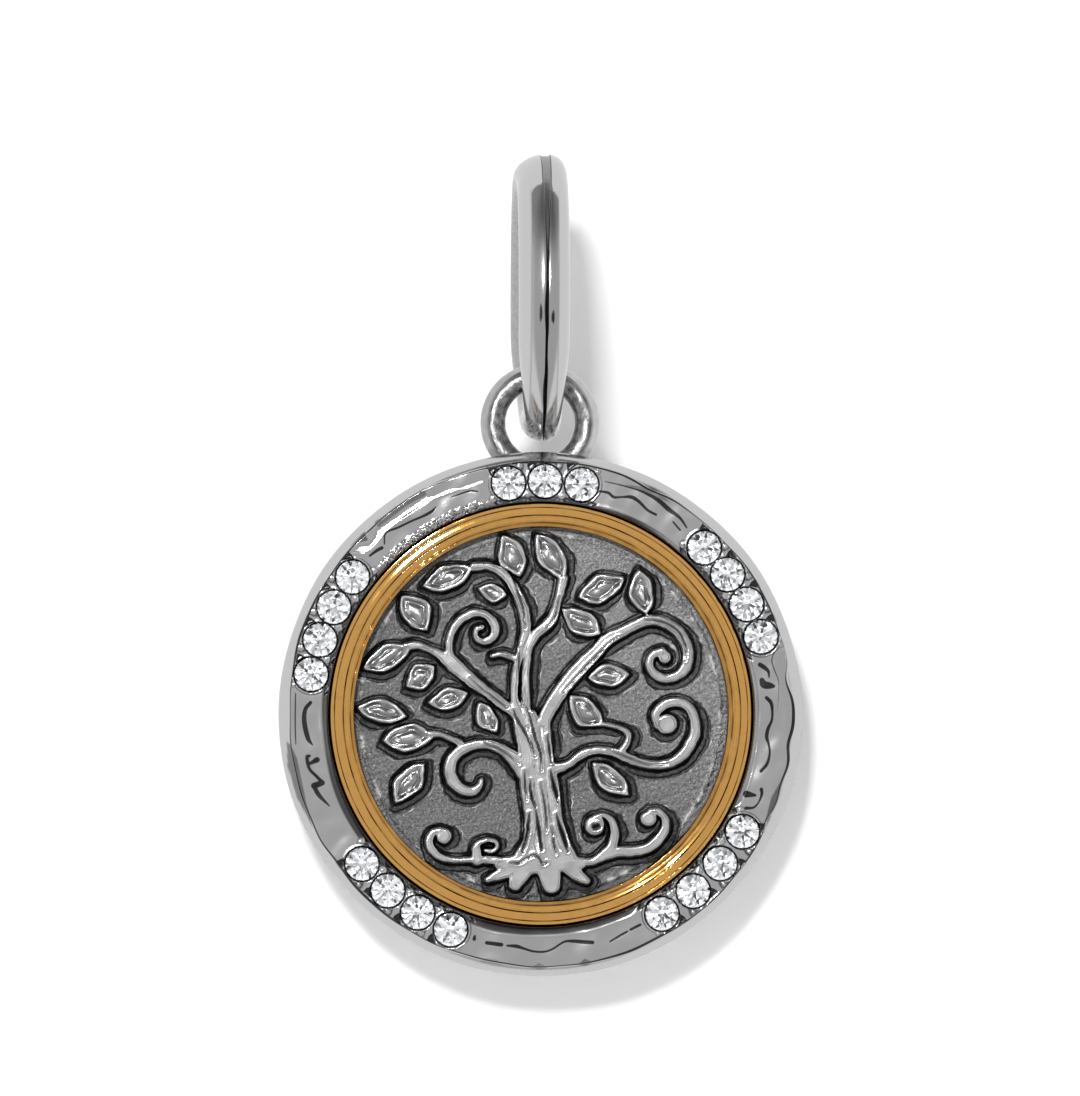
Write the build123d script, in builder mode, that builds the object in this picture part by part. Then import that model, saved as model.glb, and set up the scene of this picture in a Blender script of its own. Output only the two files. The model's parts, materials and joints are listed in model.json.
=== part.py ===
from build123d import *
from math import cos, degrees, hypot, radians, sin, tan
import os

# Round hammered pendant with a raised tree of life, hung by a soldered loop from an oval bail.
# Millimetres, +Z up. The front of the pendant faces -Y and +X is on its right as it is seen.
# The origin is the top of the bail's eye, where a chain or cord would carry it.

# Bail: an oval ring of two round lobes side by side, narrower at its foot
bail_eye_height = 8.2
bail_eye_depth = 5.6
bail_thickness = 2.0
bail_width = 2.2
bail_foot_width = 1.76
bail_groove_depth = 0.4
bail_full_width_from = 0.45

# Loop: a round wire ring soldered to the top of the frame
loop_wire = 1.06
loop_clearance = 0.15
loop_drop = 0.2
swing_clearance = 0.22

# Frame: a shallow round cup with a wide rim
frame_diameter = 22.2
frame_depth = 3.0
frame_back = 0.8
rim_width = 2.1
rim_bevel_width = 0.42
rim_bevel_drop = 0.5
rim_inner_bevel = 0.1
back_bevel = 0.35

# Gold ring: three round ridges between the rim and the medallion, the inner one lower
ring_width = 0.96
ring_height = 0.75
ring_valley = 0.12
ring_step = 0.2
ring_gap = 0.15

# Medallion: a plate with raised relief
plate_thickness = 1.0
limb_relief = 0.5
leaf_relief = 0.42
limb_crest_share = 0.6
leaf_crest_share = 0.5
relief_root = 0.05
fit_clearance = 0.03

# Stones: round brilliants in seats cut into the rim, held by small grains of metal
stone_diameter = 1.4
stone_proud = 0.12
table_share = 0.56
crown_angle = 34
half_crown_angle = 40
star_angle = 22
pavilion_angle = 41
half_pavilion_angle = 42
girdle_thickness = 0.05
main_facets = 8
seat_clearance = 0.04
seat_wall = 0.12
seat_web = 0.02
grain_diameter = 0.3
grain_rise = 0.06
grain_gap = 0.06

# Groups of stones round the rim, angles counterclockwise from +X as seen from the front.
# Columns: name, stones, middle angle, extra angle between neighbours.
stone_groups = [
    ("upper_right", 4, 32.5, 0),
    ("top", 3, 89, 0.3),
    ("upper_left", 4, 157, 0),
    ("lower_left", 4, 233.5, 0.4),
    ("lower_right", 4, 315.5, 0.8),
]

# The tree's limbs and roots. Lengths are shares of the medallion's visible radius, in percent,
# from its centre: across to the right, and up. A limb that has a scroll runs on into it.
# Columns: name, width at the start, width at the end, points.
limbs = [
    ("trunk_left", 9, 9, [(-6, -12), (-5, -30), (-4, -45), (-6, -62), (-13, -75)]),
    ("trunk_middle", 9, 8, [(-2, -7), (0, -30), (1, -57), (2, -88)]),
    ("trunk_right", 9, 7, [(2, 0), (3.5, -25), (6, -51), (13, -73), (24, -89)]),
    ("far_left_limb", 8, 4.5, [(-3, -30), (-7, -16), (-14, -4), (-29, 11), (-50, 29), (-58, 35.5), (-69, 37)]),
    ("left_limb", 7, 4.5, [(-6, -14), (-12, 5), (-13, 17), (-9, 30), (-7, 42), (-8, 53), (-13, 65), (-21, 77), (-36, 81)]),
    ("left_limb_spur", 5, 3.5, [(-11, 26), (-18, 31), (-26, 31.5)]),
    ("middle_limb", 7, 5, [(-2, -7), (-5, 13), (-6, 27), (-4, 39), (3, 44), (8, 51), (11, 62), (14, 77)]),
    ("right_limb", 7.5, 4.5, [(2.5, -3), (8.5, 10), (19, 23.5), (30, 35), (43, 46), (56, 51.5)]),
    ("low_right_limb", 8, 5, [(4, -34), (10, -28), (17, -23.5), (27, -20), (37, -19), (46, -22.5), (60, -27)]),
    ("low_right_twig", 3.5, 3.5, [(32, -4.5), (40, -6), (45.5, -9), (47, -14.5), (44, -21)]),
    ("low_left_limb", 6.5, 4.5, [(-4, -29), (-9, -22), (-18.5, -17.5), (-27, -16)]),
    ("low_left_twig", 4.5, 3, [(-38, -17), (-50, -13), (-58, -11)]),
    ("upper_left_limb", 6, 3.5, [(-49, 28), (-49.5, 34)]),
    ("left_root", 7, 4.5, [(-6, -72), (-14, -77), (-30, -78), (-44, -77.5)]),
    ("left_root_spur", 4.5, 3, [(-33, -81)]),
    ("right_root", 7, 4.5, [(10, -70), (19, -77), (28, -77.5)]),
    ("right_root_spur", 5, 4, [(30, -75.5), (42, -75), (53, -72.5)]),
    ("toe_far_left", 6, 3, [(-8, -79), (-16, -83.5), (-28, -90)]),
    ("toe_left", 7, 3.5, [(-3, -80), (-9, -86), (-14, -95)]),
    ("toe_right", 10, 9, [(4, -78), (5.5, -94)]),
]

# The scrolls that limbs run on into, and the round eye that each ends in.
# Columns: name of its limb, centre across and up, first and last radius, first angle, sweep, eye radius.
scrolls = [
    ("right_limb", 66.5, 31, 18.5, 5.5, 75, -400, 4),
    ("low_right_limb", 69, -5, 19, 5.5, -65, 430, 4.5),
    ("low_left_limb", -37, -33, 18, 6, 65, 275, 3),
    ("upper_left_limb", -33, 44, 14.5, 4.5, -172, -400, 3.5),
    ("left_root", -52, -65.5, 11, 4.5, -95, -300, 5),
    ("left_root_spur", -27.5, -72.5, 7, 4, -165, -220, 3),
    ("right_root", 31, -61.5, 12, 5, -55, 340, 5.5),
    ("right_root_spur", 59, -58, 12.5, 4.5, -80, 350, 4.5),
]

# Columns: name, centre across and up, length, width, turn in degrees.
leaves = [
    ("far_left_tip", -81, 31, 28, 12, 22),
    ("far_left_upper", -67.5, 54, 24, 13, -58),
    ("left_tip", -48.5, 72.5, 28, 12, 12),
    ("left_small", -25.5, 66, 16, 8, -10),
    ("middle_left", -15.5, 84, 26, 13, -72),
    ("middle_tip", 6, 85, 27, 13, -55),
    ("middle_right", 22, 49.5, 26, 11, -35),
    ("right_upper", 32, 68, 27, 11, 25),
    ("right_top", 55, 63.5, 24, 13, 90),
    ("right_lower", 36.5, 20.5, 22, 11, 7),
    ("right_inner", 25, 2, 23, 12, -48),
    ("low_right", 38, -34.5, 26, 11, -42),
    ("low_left_tip", -71, -14.5, 31, 11, 8),
    ("far_left_lower", -64, 20, 20, 11, 38),
    ("left_inner", -49, 8.5, 23, 9, 12),
    ("far_left_edge", -84, 1.5, 25, 11, -10),
    ("low_left", -69, -37, 27, 12, 53),
    ("trunk_side", -28.5, -2, 20, 9, -55),
]
scroll_step = 30
samples_each = 3

# Places that follow from the sizes
foot_lobe = bail_foot_width / 2
foot_arc_height = (bail_thickness - foot_lobe) / 2
loop_hole_radius = hypot(foot_lobe / 2, foot_arc_height + loop_drop) + foot_lobe / 2 + loop_clearance
loop_rise = hypot(foot_lobe / 2, foot_arc_height - loop_drop) + foot_lobe / 2 + swing_clearance
loop_z = -bail_eye_height - bail_thickness / 2 - loop_drop
frame_radius = frame_diameter / 2
disc_z = loop_z - loop_rise - frame_radius
face_y = -frame_depth / 2
back_y = frame_depth / 2
cup_floor_y = back_y - frame_back
cup_radius = frame_radius - rim_width
plate_back_y = cup_floor_y - fit_clearance
plate_face_y = plate_back_y - plate_thickness
relief_base_y = plate_face_y + relief_root
ring_base_y = plate_face_y - fit_clearance
ring_outer_radius = cup_radius - ring_gap
ring_inner_radius = ring_outer_radius - ring_width
percent = ring_inner_radius / 100
stone_radius = stone_diameter / 2
table_radius = stone_radius * table_share
crown_height = (stone_radius - table_radius) * tan(radians(crown_angle))
pavilion_depth = stone_radius * tan(radians(pavilion_angle))
girdle_y = face_y - stone_proud + crown_height
girdle_low = stone_proud - crown_height - girdle_thickness
seat_radius = stone_radius + seat_clearance
stone_pitch_radius = cup_radius + seat_wall + seat_radius
stone_step = degrees((2 * seat_radius + seat_web) / stone_pitch_radius)
grain_reach = seat_radius + grain_gap + grain_diameter / 2

disc_axis = Axis((0, 0, disc_z), (0, 1, 0))
disc_profile = Plane(origin=(0, 0, disc_z), x_dir=(1, 0, 0), z_dir=(0, 0, 1))


def front_plane(y):
    """A plane across the disc's axis at depth y, drawn on as it is seen from the front."""
    return Plane(origin=(0, y, disc_z), x_dir=(1, 0, 0), z_dir=(0, -1, 0))


def polar(radius, angle):
    """The place at a radius and an angle, counterclockwise from +X."""
    return (radius * cos(radians(angle)), radius * sin(radians(angle)))


def scroll_points(row):
    """The points of a scroll whose radius shrinks evenly along its sweep."""
    name, across, up, first_radius, last_radius, first_angle, sweep, eye = row
    count = round(abs(sweep) / scroll_step)
    points = []
    for i in range(count + 1):
        radius = first_radius + (last_radius - first_radius) * i / count
        x, y = polar(radius, first_angle + sweep * i / count)
        points.append((across + x, up + y))
    return points


def eye_place(row):
    """The centre of a scroll's round eye, drawn in until its edge meets the limb's line."""
    name, across, up, first_radius, last_radius, first_angle, sweep, eye = row
    x, y = polar(max(last_radius - eye, 0), first_angle + sweep)
    return (across + x, up + y)


def limb_path(name, points):
    """A limb's line, run on into its scroll where it has one."""
    for row in scrolls:
        if row[0] == name:
            return points + scroll_points(row)
    return points


def limb_sides(path, start_width, end_width):
    """The points of the two sides of a limb that tapers along its path."""
    line = Spline(*path)
    count = samples_each * (len(path) - 1)
    sides = ([], [])
    for i in range(count + 1):
        at = line @ (i / count)
        along = line % (i / count)
        half = (start_width + (end_width - start_width) * i / count) / 2
        sides[0].append((at.X - along.Y * half, at.Y + along.X * half))
        sides[1].append((at.X + along.Y * half, at.Y - along.X * half))
    return sides


def raised_limb(path, start_width, end_width):
    """A limb whose sides lean in from the plate to a narrower crest."""
    crest_y = plate_face_y - limb_relief
    with BuildPart() as limb:
        for y, share in ((relief_base_y, 1), (crest_y, limb_crest_share)):
            left, right = limb_sides(path, start_width * share, end_width * share)
            with BuildSketch(front_plane(y)):
                with BuildLine():
                    Spline(*left)
                    Line(left[-1], right[-1])
                    Spline(*reversed(right))
                    Line(right[0], left[0])
                make_face()
        loft(ruled=True)
    return limb.part


def raised_eye(place, radius):
    """The round end of a scroll, as high as its limb."""
    crest_y = plate_face_y - limb_relief
    with BuildPart() as eye:
        for y, share in ((relief_base_y, 1), (crest_y, limb_crest_share)):
            with BuildSketch(front_plane(y)):
                with Locations(place):
                    Circle(radius * share)
        loft(ruled=True)
    return eye.part


def raised_leaf(place, length, width, turn):
    """A pointed leaf whose sides lean in to a smaller crest."""
    crest_y = plate_face_y - leaf_relief
    with BuildPart() as leaf:
        for y, share in ((relief_base_y, 1), (crest_y, leaf_crest_share)):
            tip = length * share / 2
            bulge = width * share / 2
            lying = front_plane(y) * Location(place, turn)
            with BuildSketch(lying):
                with BuildLine():
                    ThreePointArc((-tip, 0), (0, bulge), (tip, 0))
                    ThreePointArc((tip, 0), (0, -bulge), (-tip, 0))
                make_face()
        loft(ruled=True)
    return leaf.part


def facet(turn, radius, height, slope):
    """A cutting plane through a point of a stone's side, sloping up and in from there."""
    x, y = polar(1, turn)
    lean = radians(slope)
    return Plane(origin=(radius * x, radius * y, height), z_dir=(x * sin(lean), y * sin(lean), cos(lean)))


# Bail: half of it is swept from the foot to the top, then mirrored to the back
bail_line = EllipticalCenterArc(
    (0, 0),
    (bail_eye_depth + bail_thickness) / 2,
    (bail_eye_height + bail_thickness) / 2,
    start_angle=-90,
    arc_size=180,
)
bail_path = Plane(origin=(0, 0, -bail_eye_height / 2), x_dir=(0, 1, 0), z_dir=(1, 0, 0)) * bail_line

with BuildPart() as bail:
    for share, width in ((0, bail_foot_width), (bail_full_width_from, bail_width), (1, bail_width)):
        lobe = width / 2
        with BuildSketch(Plane(origin=bail_path @ share, x_dir=(1, 0, 0), z_dir=bail_path % share)):
            with Locations((-lobe / 2, 0), (lobe / 2, 0)):
                SlotOverall(bail_thickness, lobe, rotation=90)
            Rectangle(lobe, bail_thickness - 2 * bail_groove_depth)
    sweep(path=bail_path, multisection=True)
    mirror(about=Plane.XZ)
bail.part.label = "bail"

# Places of the stones and of the grains between and beside them
stone_places = []
grain_places = []
for group, count, middle, extra in stone_groups:
    step = stone_step + extra
    first = middle - step * (count - 1) / 2
    beside = stone_pitch_radius * sin(radians(step / 2))
    offset = max(grain_reach**2 - beside**2, 0) ** 0.5
    for i in range(count):
        stone_places.append((polar(stone_pitch_radius, first + i * step), first + i * step))
    for i in range(count + 1):
        for radius in (stone_pitch_radius - offset, stone_pitch_radius + offset):
            grain_places.append(polar(radius, first + (i - 0.5) * step))

# Seat cutter: a round wall down to the girdle, then a cone that follows the stone's back
with BuildPart() as seat:
    with BuildSketch(Plane.XZ):
        with BuildLine():
            Polyline(
                (0, stone_diameter),
                (seat_radius, stone_diameter),
                (seat_radius, girdle_low),
                (0, girdle_low - seat_radius * tan(radians(pavilion_angle))),
                close=True,
            )
        make_face()
    revolve(axis=Axis.Z)

# Frame: cup, loop, stone seats and grains, soldered into one piece
with BuildPart() as frame:
    with BuildSketch(disc_profile):
        with BuildLine():
            Polyline(
                (0, back_y),
                (frame_radius - back_bevel, back_y),
                (frame_radius, back_y - back_bevel),
                (frame_radius, face_y + rim_bevel_drop),
                (frame_radius - rim_bevel_width, face_y),
                (cup_radius + rim_inner_bevel, face_y),
                (cup_radius, face_y + rim_inner_bevel),
                (cup_radius, cup_floor_y),
                (0, cup_floor_y),
                close=True,
            )
        make_face()
    revolve(axis=disc_axis)
    with Locations(Location((0, 0, loop_z), (90, 0, 0))):
        Torus(loop_hole_radius + loop_wire / 2, loop_wire / 2)
    with Locations(*[front_plane(face_y) * Location(place) for place, angle in stone_places]):
        add(seat.part, mode=Mode.SUBTRACT)
    grain_y = face_y + grain_diameter / 2 - grain_rise
    with Locations(*[front_plane(grain_y) * Location(place) for place in grain_places]):
        Sphere(grain_diameter / 2)
frame.part.label = "frame"

# Gold ring: a wall crowned with three round ridges
ridge = ring_width / 3
ring_top_y = ring_base_y - ring_height
crests = (0, 0, ring_step)
valleys = (2 * ring_valley, ring_valley, ring_valley + ring_step / 2, 2 * ring_valley + ring_step)

with BuildPart() as gold_ring:
    with BuildSketch(disc_profile):
        with BuildLine():
            for i, crest in enumerate(crests):
                outside = ring_outer_radius - i * ridge
                ThreePointArc(
                    (outside, ring_top_y + valleys[i]),
                    (outside - ridge / 2, ring_top_y + crest),
                    (outside - ridge, ring_top_y + valleys[i + 1]),
                )
            Polyline(
                (ring_inner_radius, ring_top_y + valleys[-1]),
                (ring_inner_radius, ring_base_y),
                (ring_outer_radius, ring_base_y),
                (ring_outer_radius, ring_top_y + valleys[0]),
            )
        make_face()
    revolve(axis=disc_axis)
gold_ring.part.label = "gold_ring"

# Relief of the medallion, made apart so that it joins the plate in one step
relief = []
for name, start_width, end_width, points in limbs:
    path = [(across * percent, up * percent) for across, up in limb_path(name, points)]
    relief.append(raised_limb(path, start_width * percent, end_width * percent))
for row in scrolls:
    across, up = eye_place(row)
    relief.append(raised_eye((across * percent, up * percent), row[-1] * percent))
for name, across, up, length, width, turn in leaves:
    relief.append(raised_leaf((across * percent, up * percent), length * percent, width * percent, turn))

# Medallion: a round plate with the tree standing on it
with BuildPart() as medallion:
    with BuildSketch(front_plane(plate_back_y)):
        Circle(cup_radius - fit_clearance)
    extrude(amount=plate_thickness)
    add(relief)
medallion.part.label = "medallion"

# Round brilliant: a short prism cut down by its crown and pavilion facets
with BuildPart() as brilliant:
    with BuildSketch(Plane.XY.offset(-girdle_thickness - pavilion_depth)):
        RegularPolygon(stone_radius, 2 * main_facets)
    extrude(amount=pavilion_depth + girdle_thickness + crown_height)
    for i in range(main_facets):
        turn = i * 360 / main_facets
        half_turn = turn + 180 / main_facets
        split(bisect_by=facet(turn, stone_radius, 0, crown_angle), keep=Keep.BOTTOM)
        split(bisect_by=facet(half_turn, stone_radius, 0, half_crown_angle), keep=Keep.BOTTOM)
        split(bisect_by=facet(half_turn, table_radius, crown_height, star_angle), keep=Keep.BOTTOM)
        split(bisect_by=facet(turn, stone_radius, -girdle_thickness, 180 - pavilion_angle), keep=Keep.BOTTOM)
        split(bisect_by=facet(half_turn, stone_radius, -girdle_thickness, 180 - half_pavilion_angle), keep=Keep.BOTTOM)

# One node for each stone, turned with its place on the rim
pieces = [bail, frame, gold_ring, medallion]
for number, (place, angle) in enumerate(stone_places, start=1):
    with BuildPart() as stone:
        with Locations(front_plane(girdle_y) * Location(place, angle)):
            add(brilliant.part)
    stone.part.label = f"stone_{number:02d}"
    pieces.append(stone)

os.makedirs("parts", exist_ok=True)
for piece in pieces:
    export_step(piece.part, f"parts/{piece.part.label}.step")
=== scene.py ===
"""Looks of a tree of life pendant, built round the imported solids.

A hammered silver frame with small clear stones holds a ridged gold ring and an antiqued medallion
with a raised tree. It hangs by a wire loop from a double-lobed oval bail. Everything is in metres,
+Z up, with the front towards -Y.
"""

import json
import logging
from dataclasses import dataclass, field
from enum import Enum
from math import cos, degrees, pi, radians, sin, tan

import bpy
import numpy as np
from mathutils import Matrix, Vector


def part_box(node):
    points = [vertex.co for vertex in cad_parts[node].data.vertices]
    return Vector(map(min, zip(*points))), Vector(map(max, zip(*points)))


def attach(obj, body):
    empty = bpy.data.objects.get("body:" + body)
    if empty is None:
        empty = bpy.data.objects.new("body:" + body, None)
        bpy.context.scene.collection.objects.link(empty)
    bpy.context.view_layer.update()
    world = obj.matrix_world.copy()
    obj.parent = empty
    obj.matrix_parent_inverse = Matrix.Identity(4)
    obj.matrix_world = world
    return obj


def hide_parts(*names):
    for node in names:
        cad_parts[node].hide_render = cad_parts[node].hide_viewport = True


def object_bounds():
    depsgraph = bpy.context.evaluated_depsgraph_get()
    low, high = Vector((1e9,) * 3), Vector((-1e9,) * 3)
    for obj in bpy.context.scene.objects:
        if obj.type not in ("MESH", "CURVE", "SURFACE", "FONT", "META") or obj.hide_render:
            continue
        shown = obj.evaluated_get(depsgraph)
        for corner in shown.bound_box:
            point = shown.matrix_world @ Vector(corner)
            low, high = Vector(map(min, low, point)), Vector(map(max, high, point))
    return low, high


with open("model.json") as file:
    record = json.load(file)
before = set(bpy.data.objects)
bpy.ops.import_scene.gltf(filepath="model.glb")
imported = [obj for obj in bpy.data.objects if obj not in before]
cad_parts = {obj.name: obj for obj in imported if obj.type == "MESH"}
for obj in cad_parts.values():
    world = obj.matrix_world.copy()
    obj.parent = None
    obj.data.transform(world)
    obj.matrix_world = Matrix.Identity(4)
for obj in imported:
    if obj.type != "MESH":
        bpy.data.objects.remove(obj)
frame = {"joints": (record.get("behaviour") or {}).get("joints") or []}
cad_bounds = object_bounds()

MM = 0.001
PHOTO_WIDTH = 1080
SEED = 7

# The frame's width, and the picture's centre above the disc's, in picture dots
FRAME_DOTS = 524
PICTURE_CENTRE_DOTS = 166

# Sizes of the solids that their boxes don't give
RIM_WIDTH = 2.1 * MM
FRAME_FACE = 1.5 * MM
VISIBLE_RADIUS = 7.89 * MM
PLATE_THICKNESS = 1.0 * MM
FIT_GAP = 0.03 * MM
STONE_RADIUS = 0.7 * MM
CROWN_SHARE = 0.44
CROWN_ANGLE = 34
SEAT_RADIUS = 0.74 * MM
SEAT_INSET = 0.12 * MM
SEAT_WEB = 0.02 * MM

# How far the paper wall is behind the pendant, and the floor below it
WALL_GAP = 3.0 * MM
FLOOR_GAP = 30 * MM

# Heights between which the wall bends back, clear of the bail
BEND_START = -20 * MM
BEND_END = -10.5 * MM

# How far a stone may be turned, in degrees, and how much it may lean, as a slope
MOST_TURN = 45
MOST_LEAN = 0.05

Array = np.ndarray
Pair = tuple[float, float]
Node = bpy.types.Node
Socket = bpy.types.NodeSocket
Material = bpy.types.Material
log = logging.getLogger("pendant")


class Body(Enum):
    """The bodies that pieces ride on."""

    BAIL = "bail"
    PENDANT = "pendant"


class Slot(Enum):
    """The record's material slots."""

    SILVER = "silver"
    GOLD = "gold"
    ANTIQUED = "antiqued_silver"
    CRYSTAL = "crystal"


# Shapes and arrays


def polar(radius: float, angle: float) -> Pair:
    """The place at a radius and an angle in degrees, counterclockwise from the right."""
    return radius * cos(radians(angle)), radius * sin(radians(angle))


def ease(low: float, high: float, value: Array) -> Array:
    """A smooth step from 0 at low to 1 at high."""
    share = np.clip((value - low) / (high - low), 0, 1)
    return share * share * (3 - 2 * share)


def fade(low: float, high: float, value: Array) -> Array:
    """A smooth step from 1 at low to 0 at high."""
    return 1 - ease(low, high, value)


def turn_from(angle: Array, middle: float) -> Array:
    """How far round each angle is from the middle one, from -180 to 180 degrees."""
    return (angle - middle + 180) % 360 - 180


def circle(radius: Array, turn: Array) -> Array:
    """Places in the plane, one row each, from radii and angles in radians."""
    return np.stack([radius * np.cos(turn), radius * np.sin(turn)], axis=1)


def bell(value: Array, width: float) -> Array:
    """A bell curve that is 1 at zero and falls off over the width."""
    return np.exp(-((value / width) ** 2))


def smooth_line(points: Array, cuts: int = 8) -> Array:
    """A curve through all the points.

    Args:
        points: The points, one row each.
        cuts: How many pieces each stretch between two points is cut into.

    Returns:
        The points of the curve, one row each.
    """
    ends = np.vstack([2 * points[0] - points[1], points, 2 * points[-1] - points[-2]])
    share = np.linspace(0, 1, cuts, endpoint=False)[:, None]
    rows = []
    for before, start, end, after in zip(ends, ends[1:], ends[2:], ends[3:]):
        rows.append(
            start
            + 0.5 * share * (end - before)
            + share**2 * (before - 2.5 * start + 2 * end - 0.5 * after)
            + share**3 * (1.5 * (start - end) + 0.5 * (after - before))
        )
    return np.vstack(rows + [points[-1:]])


def line_distance(places: Array, line: Array, half_widths: Array) -> Array:
    """How far each place lies outside a tapering stroke, negative inside it.

    Args:
        places: The places to look at, one row each.
        line: The stroke's middle line, one row each.
        half_widths: Half the stroke's width at each of its points.

    Returns:
        One signed distance for each place.
    """
    found = np.full(len(places), 99.0)
    for i in range(len(line) - 1):
        step = line[i + 1] - line[i]
        offset = places - line[i]
        t = np.clip(offset @ step / max(float(step @ step), 1e-18), 0, 1)
        gap = offset - t[:, None] * step
        half = half_widths[i] + t * (half_widths[i + 1] - half_widths[i])
        found = np.minimum(found, np.hypot(gap[:, 0], gap[:, 1]) - half)
    return found


def polygon_distance(places: Array, corners: Array) -> Array:
    """How far each place lies outside a polygon, negative inside it.

    Args:
        places: The places to look at, one row each.
        corners: The polygon's corners in order.

    Returns:
        One signed distance for each place.
    """
    closed = np.vstack([corners, corners[:1]])
    edge = line_distance(places, closed, np.zeros(len(closed)))
    inside = np.zeros(len(places), bool)
    x, y = places[:, 0], places[:, 1]
    for (x0, y0), (x1, y1) in zip(closed, closed[1:]):
        if y0 == y1:
            continue
        crosses = (y0 > y) != (y1 > y)
        inside ^= crosses & (x < (x1 - x0) * (y - y0) / (y1 - y0) + x0)
    return np.where(inside, -edge, edge)


def close_by(places: Array, points: Array, reach: float) -> Array:
    """Which places are in the box round the points, grown by the reach."""
    low, high = points.min(axis=0) - reach, points.max(axis=0) + reach
    return np.all((places > low) & (places < high), axis=1)


def soft_noise(places: Array, size: float, seed: int) -> Array:
    """Gentle uneven noise, mostly between -1 and 1, the same on every run.

    Args:
        places: Points in the plane, one row each.
        size: The distance over which it changes.
        seed: Which noise it is.

    Returns:
        One value for each place.
    """
    draw = np.random.default_rng(SEED + seed)
    total = np.zeros(len(places))
    for _ in range(12):
        angle = draw.uniform(0, 2 * pi)
        pace = draw.uniform(0.6, 1.6) * 2 * pi / size
        phase = draw.uniform(0, 2 * pi)
        total += np.sin(pace * (places[:, 0] * cos(angle) + places[:, 1] * sin(angle)) + phase)
    return total / 4


def grid_quads(rows: int, columns: int, wrap: bool = False) -> Array:
    """The quads of a grid of points that is stored row by row.

    Args:
        rows: Rows of points.
        columns: Points in a row.
        wrap: Whether each row closes on itself.

    Returns:
        The four corners of each quad, one row each.
    """
    across = np.arange(columns if wrap else columns - 1)
    down = np.arange(rows - 1)
    i, j = np.meshgrid(down, across, indexing="ij")
    next_j = (j + 1) % columns
    corners = (i * columns + j, i * columns + next_j, (i + 1) * columns + next_j, (i + 1) * columns + j)
    return np.stack([c.ravel() for c in corners], axis=1)


def tube_faces(rows: int, columns: int) -> list[list[int]]:
    """The quads of a grid of points that closes on itself both ways.

    Args:
        rows: Rows of points.
        columns: Points in a row.

    Returns:
        The four corners of each quad.
    """
    first = np.arange(columns)
    last = first + (rows - 1) * columns
    closing = np.stack([last, np.roll(last, -1), np.roll(first, -1), first], axis=1)
    return grid_quads(rows, columns, wrap=True).tolist() + closing.tolist()


def volume_of(points: Array, faces: list[list[int]]) -> float:
    """The signed volume of a closed mesh.

    Args:
        points: The mesh's points, one row each.
        faces: The corners of each face.

    Returns:
        The volume, positive if the faces look outwards.
    """
    total = 0.0
    sizes = np.array([len(f) for f in faces])
    for size in np.unique(sizes):
        group = np.array([f for f in faces if len(f) == size])
        for k in range(1, size - 1):
            a, b, c = points[group[:, 0]], points[group[:, k]], points[group[:, k + 1]]
            total += float(np.einsum("ij,ij->", a, np.cross(b, c))) / 6
    return total


def fan(loop: Array, centre: int) -> Array:
    """The triangles between a closed loop of points and a point in its middle."""
    return np.stack([loop, np.full(len(loop), centre), np.roll(loop, -1)], axis=1)


def add_object(name: str, data: bpy.types.ID) -> bpy.types.Object:
    """A new object in the scene."""
    made = bpy.data.objects.new(name, data)
    bpy.context.scene.collection.objects.link(made)
    return made


@dataclass
class Shape:
    """A mesh in the making, with masks that its material reads."""

    points: Array
    faces: list[list[int]]
    masks: dict[str, Array] = field(default_factory=dict)

    def joined(self, other: "Shape") -> "Shape":
        """Both shapes as one.

        Args:
            other: The shape to add. A mask that only one of them has is 0 on the other.

        Returns:
            The joined shape.
        """
        shift = len(self.points)
        faces = self.faces + [[i + shift for i in f] for f in other.faces]
        masks = {}
        for name in {**self.masks, **other.masks}:
            mine = self.masks.get(name, np.zeros(len(self.points)))
            theirs = other.masks.get(name, np.zeros(len(other.points)))
            masks[name] = np.concatenate([mine, theirs])
        return Shape(np.vstack([self.points, other.points]), faces, masks)

    def facing_out(self) -> "Shape":
        """The same shape with its faces looking outwards."""
        if volume_of(self.points, self.faces) < 0:
            self.faces = [f[::-1] for f in self.faces]
        return self

    def to_object(self, name: str, smooth: bool = True) -> bpy.types.Object:
        """The shape as an object in the scene.

        Args:
            name: The object's name.
            smooth: Whether its faces are shaded as one smooth surface.

        Returns:
            The new object.
        """
        mesh = bpy.data.meshes.new(name)
        mesh.from_pydata(self.points.tolist(), [], self.faces)
        for mask_name, values in self.masks.items():
            attribute = mesh.attributes.new(mask_name, "FLOAT", "POINT")
            attribute.data.foreach_set("value", values.astype(np.float32))
        mesh.polygons.foreach_set("use_smooth", [smooth] * len(mesh.polygons))
        mesh.update()
        return add_object(name, mesh)


def finish_piece(shape: Shape, name: str, body: Body, slot: Slot, finish: "Finish", *nodes: str,
                 smooth: bool = True) -> bpy.types.Object:
    """Puts a piece in the scene in place of the solids that it stands for.

    Args:
        shape: The piece's closed mesh.
        name: The piece's name.
        body: The body that it rides on.
        slot: The record's material slot of its finish. Not used.
        finish: The finish that it wears.
        nodes: The solids that it replaces.
        smooth: Whether it is shaded as one smooth surface.

    Returns:
        The piece.
    """
    piece = shape.facing_out().to_object(name, smooth)
    piece.data.materials.append(finish.material())
    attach(piece, body.value)
    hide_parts(*nodes)
    log.info("%s: %d points, %d faces", name, len(shape.points), len(shape.faces))
    return piece


# Shader groups and finishes


@dataclass(frozen=True)
class Patches:
    """Uneven patches: noise at a scale in features per metre.

    The noise from low to high is mapped to the values from least to most.
    """

    scale: float
    low: float
    high: float
    least: float
    most: float
    detail: float = 2.0


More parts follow.
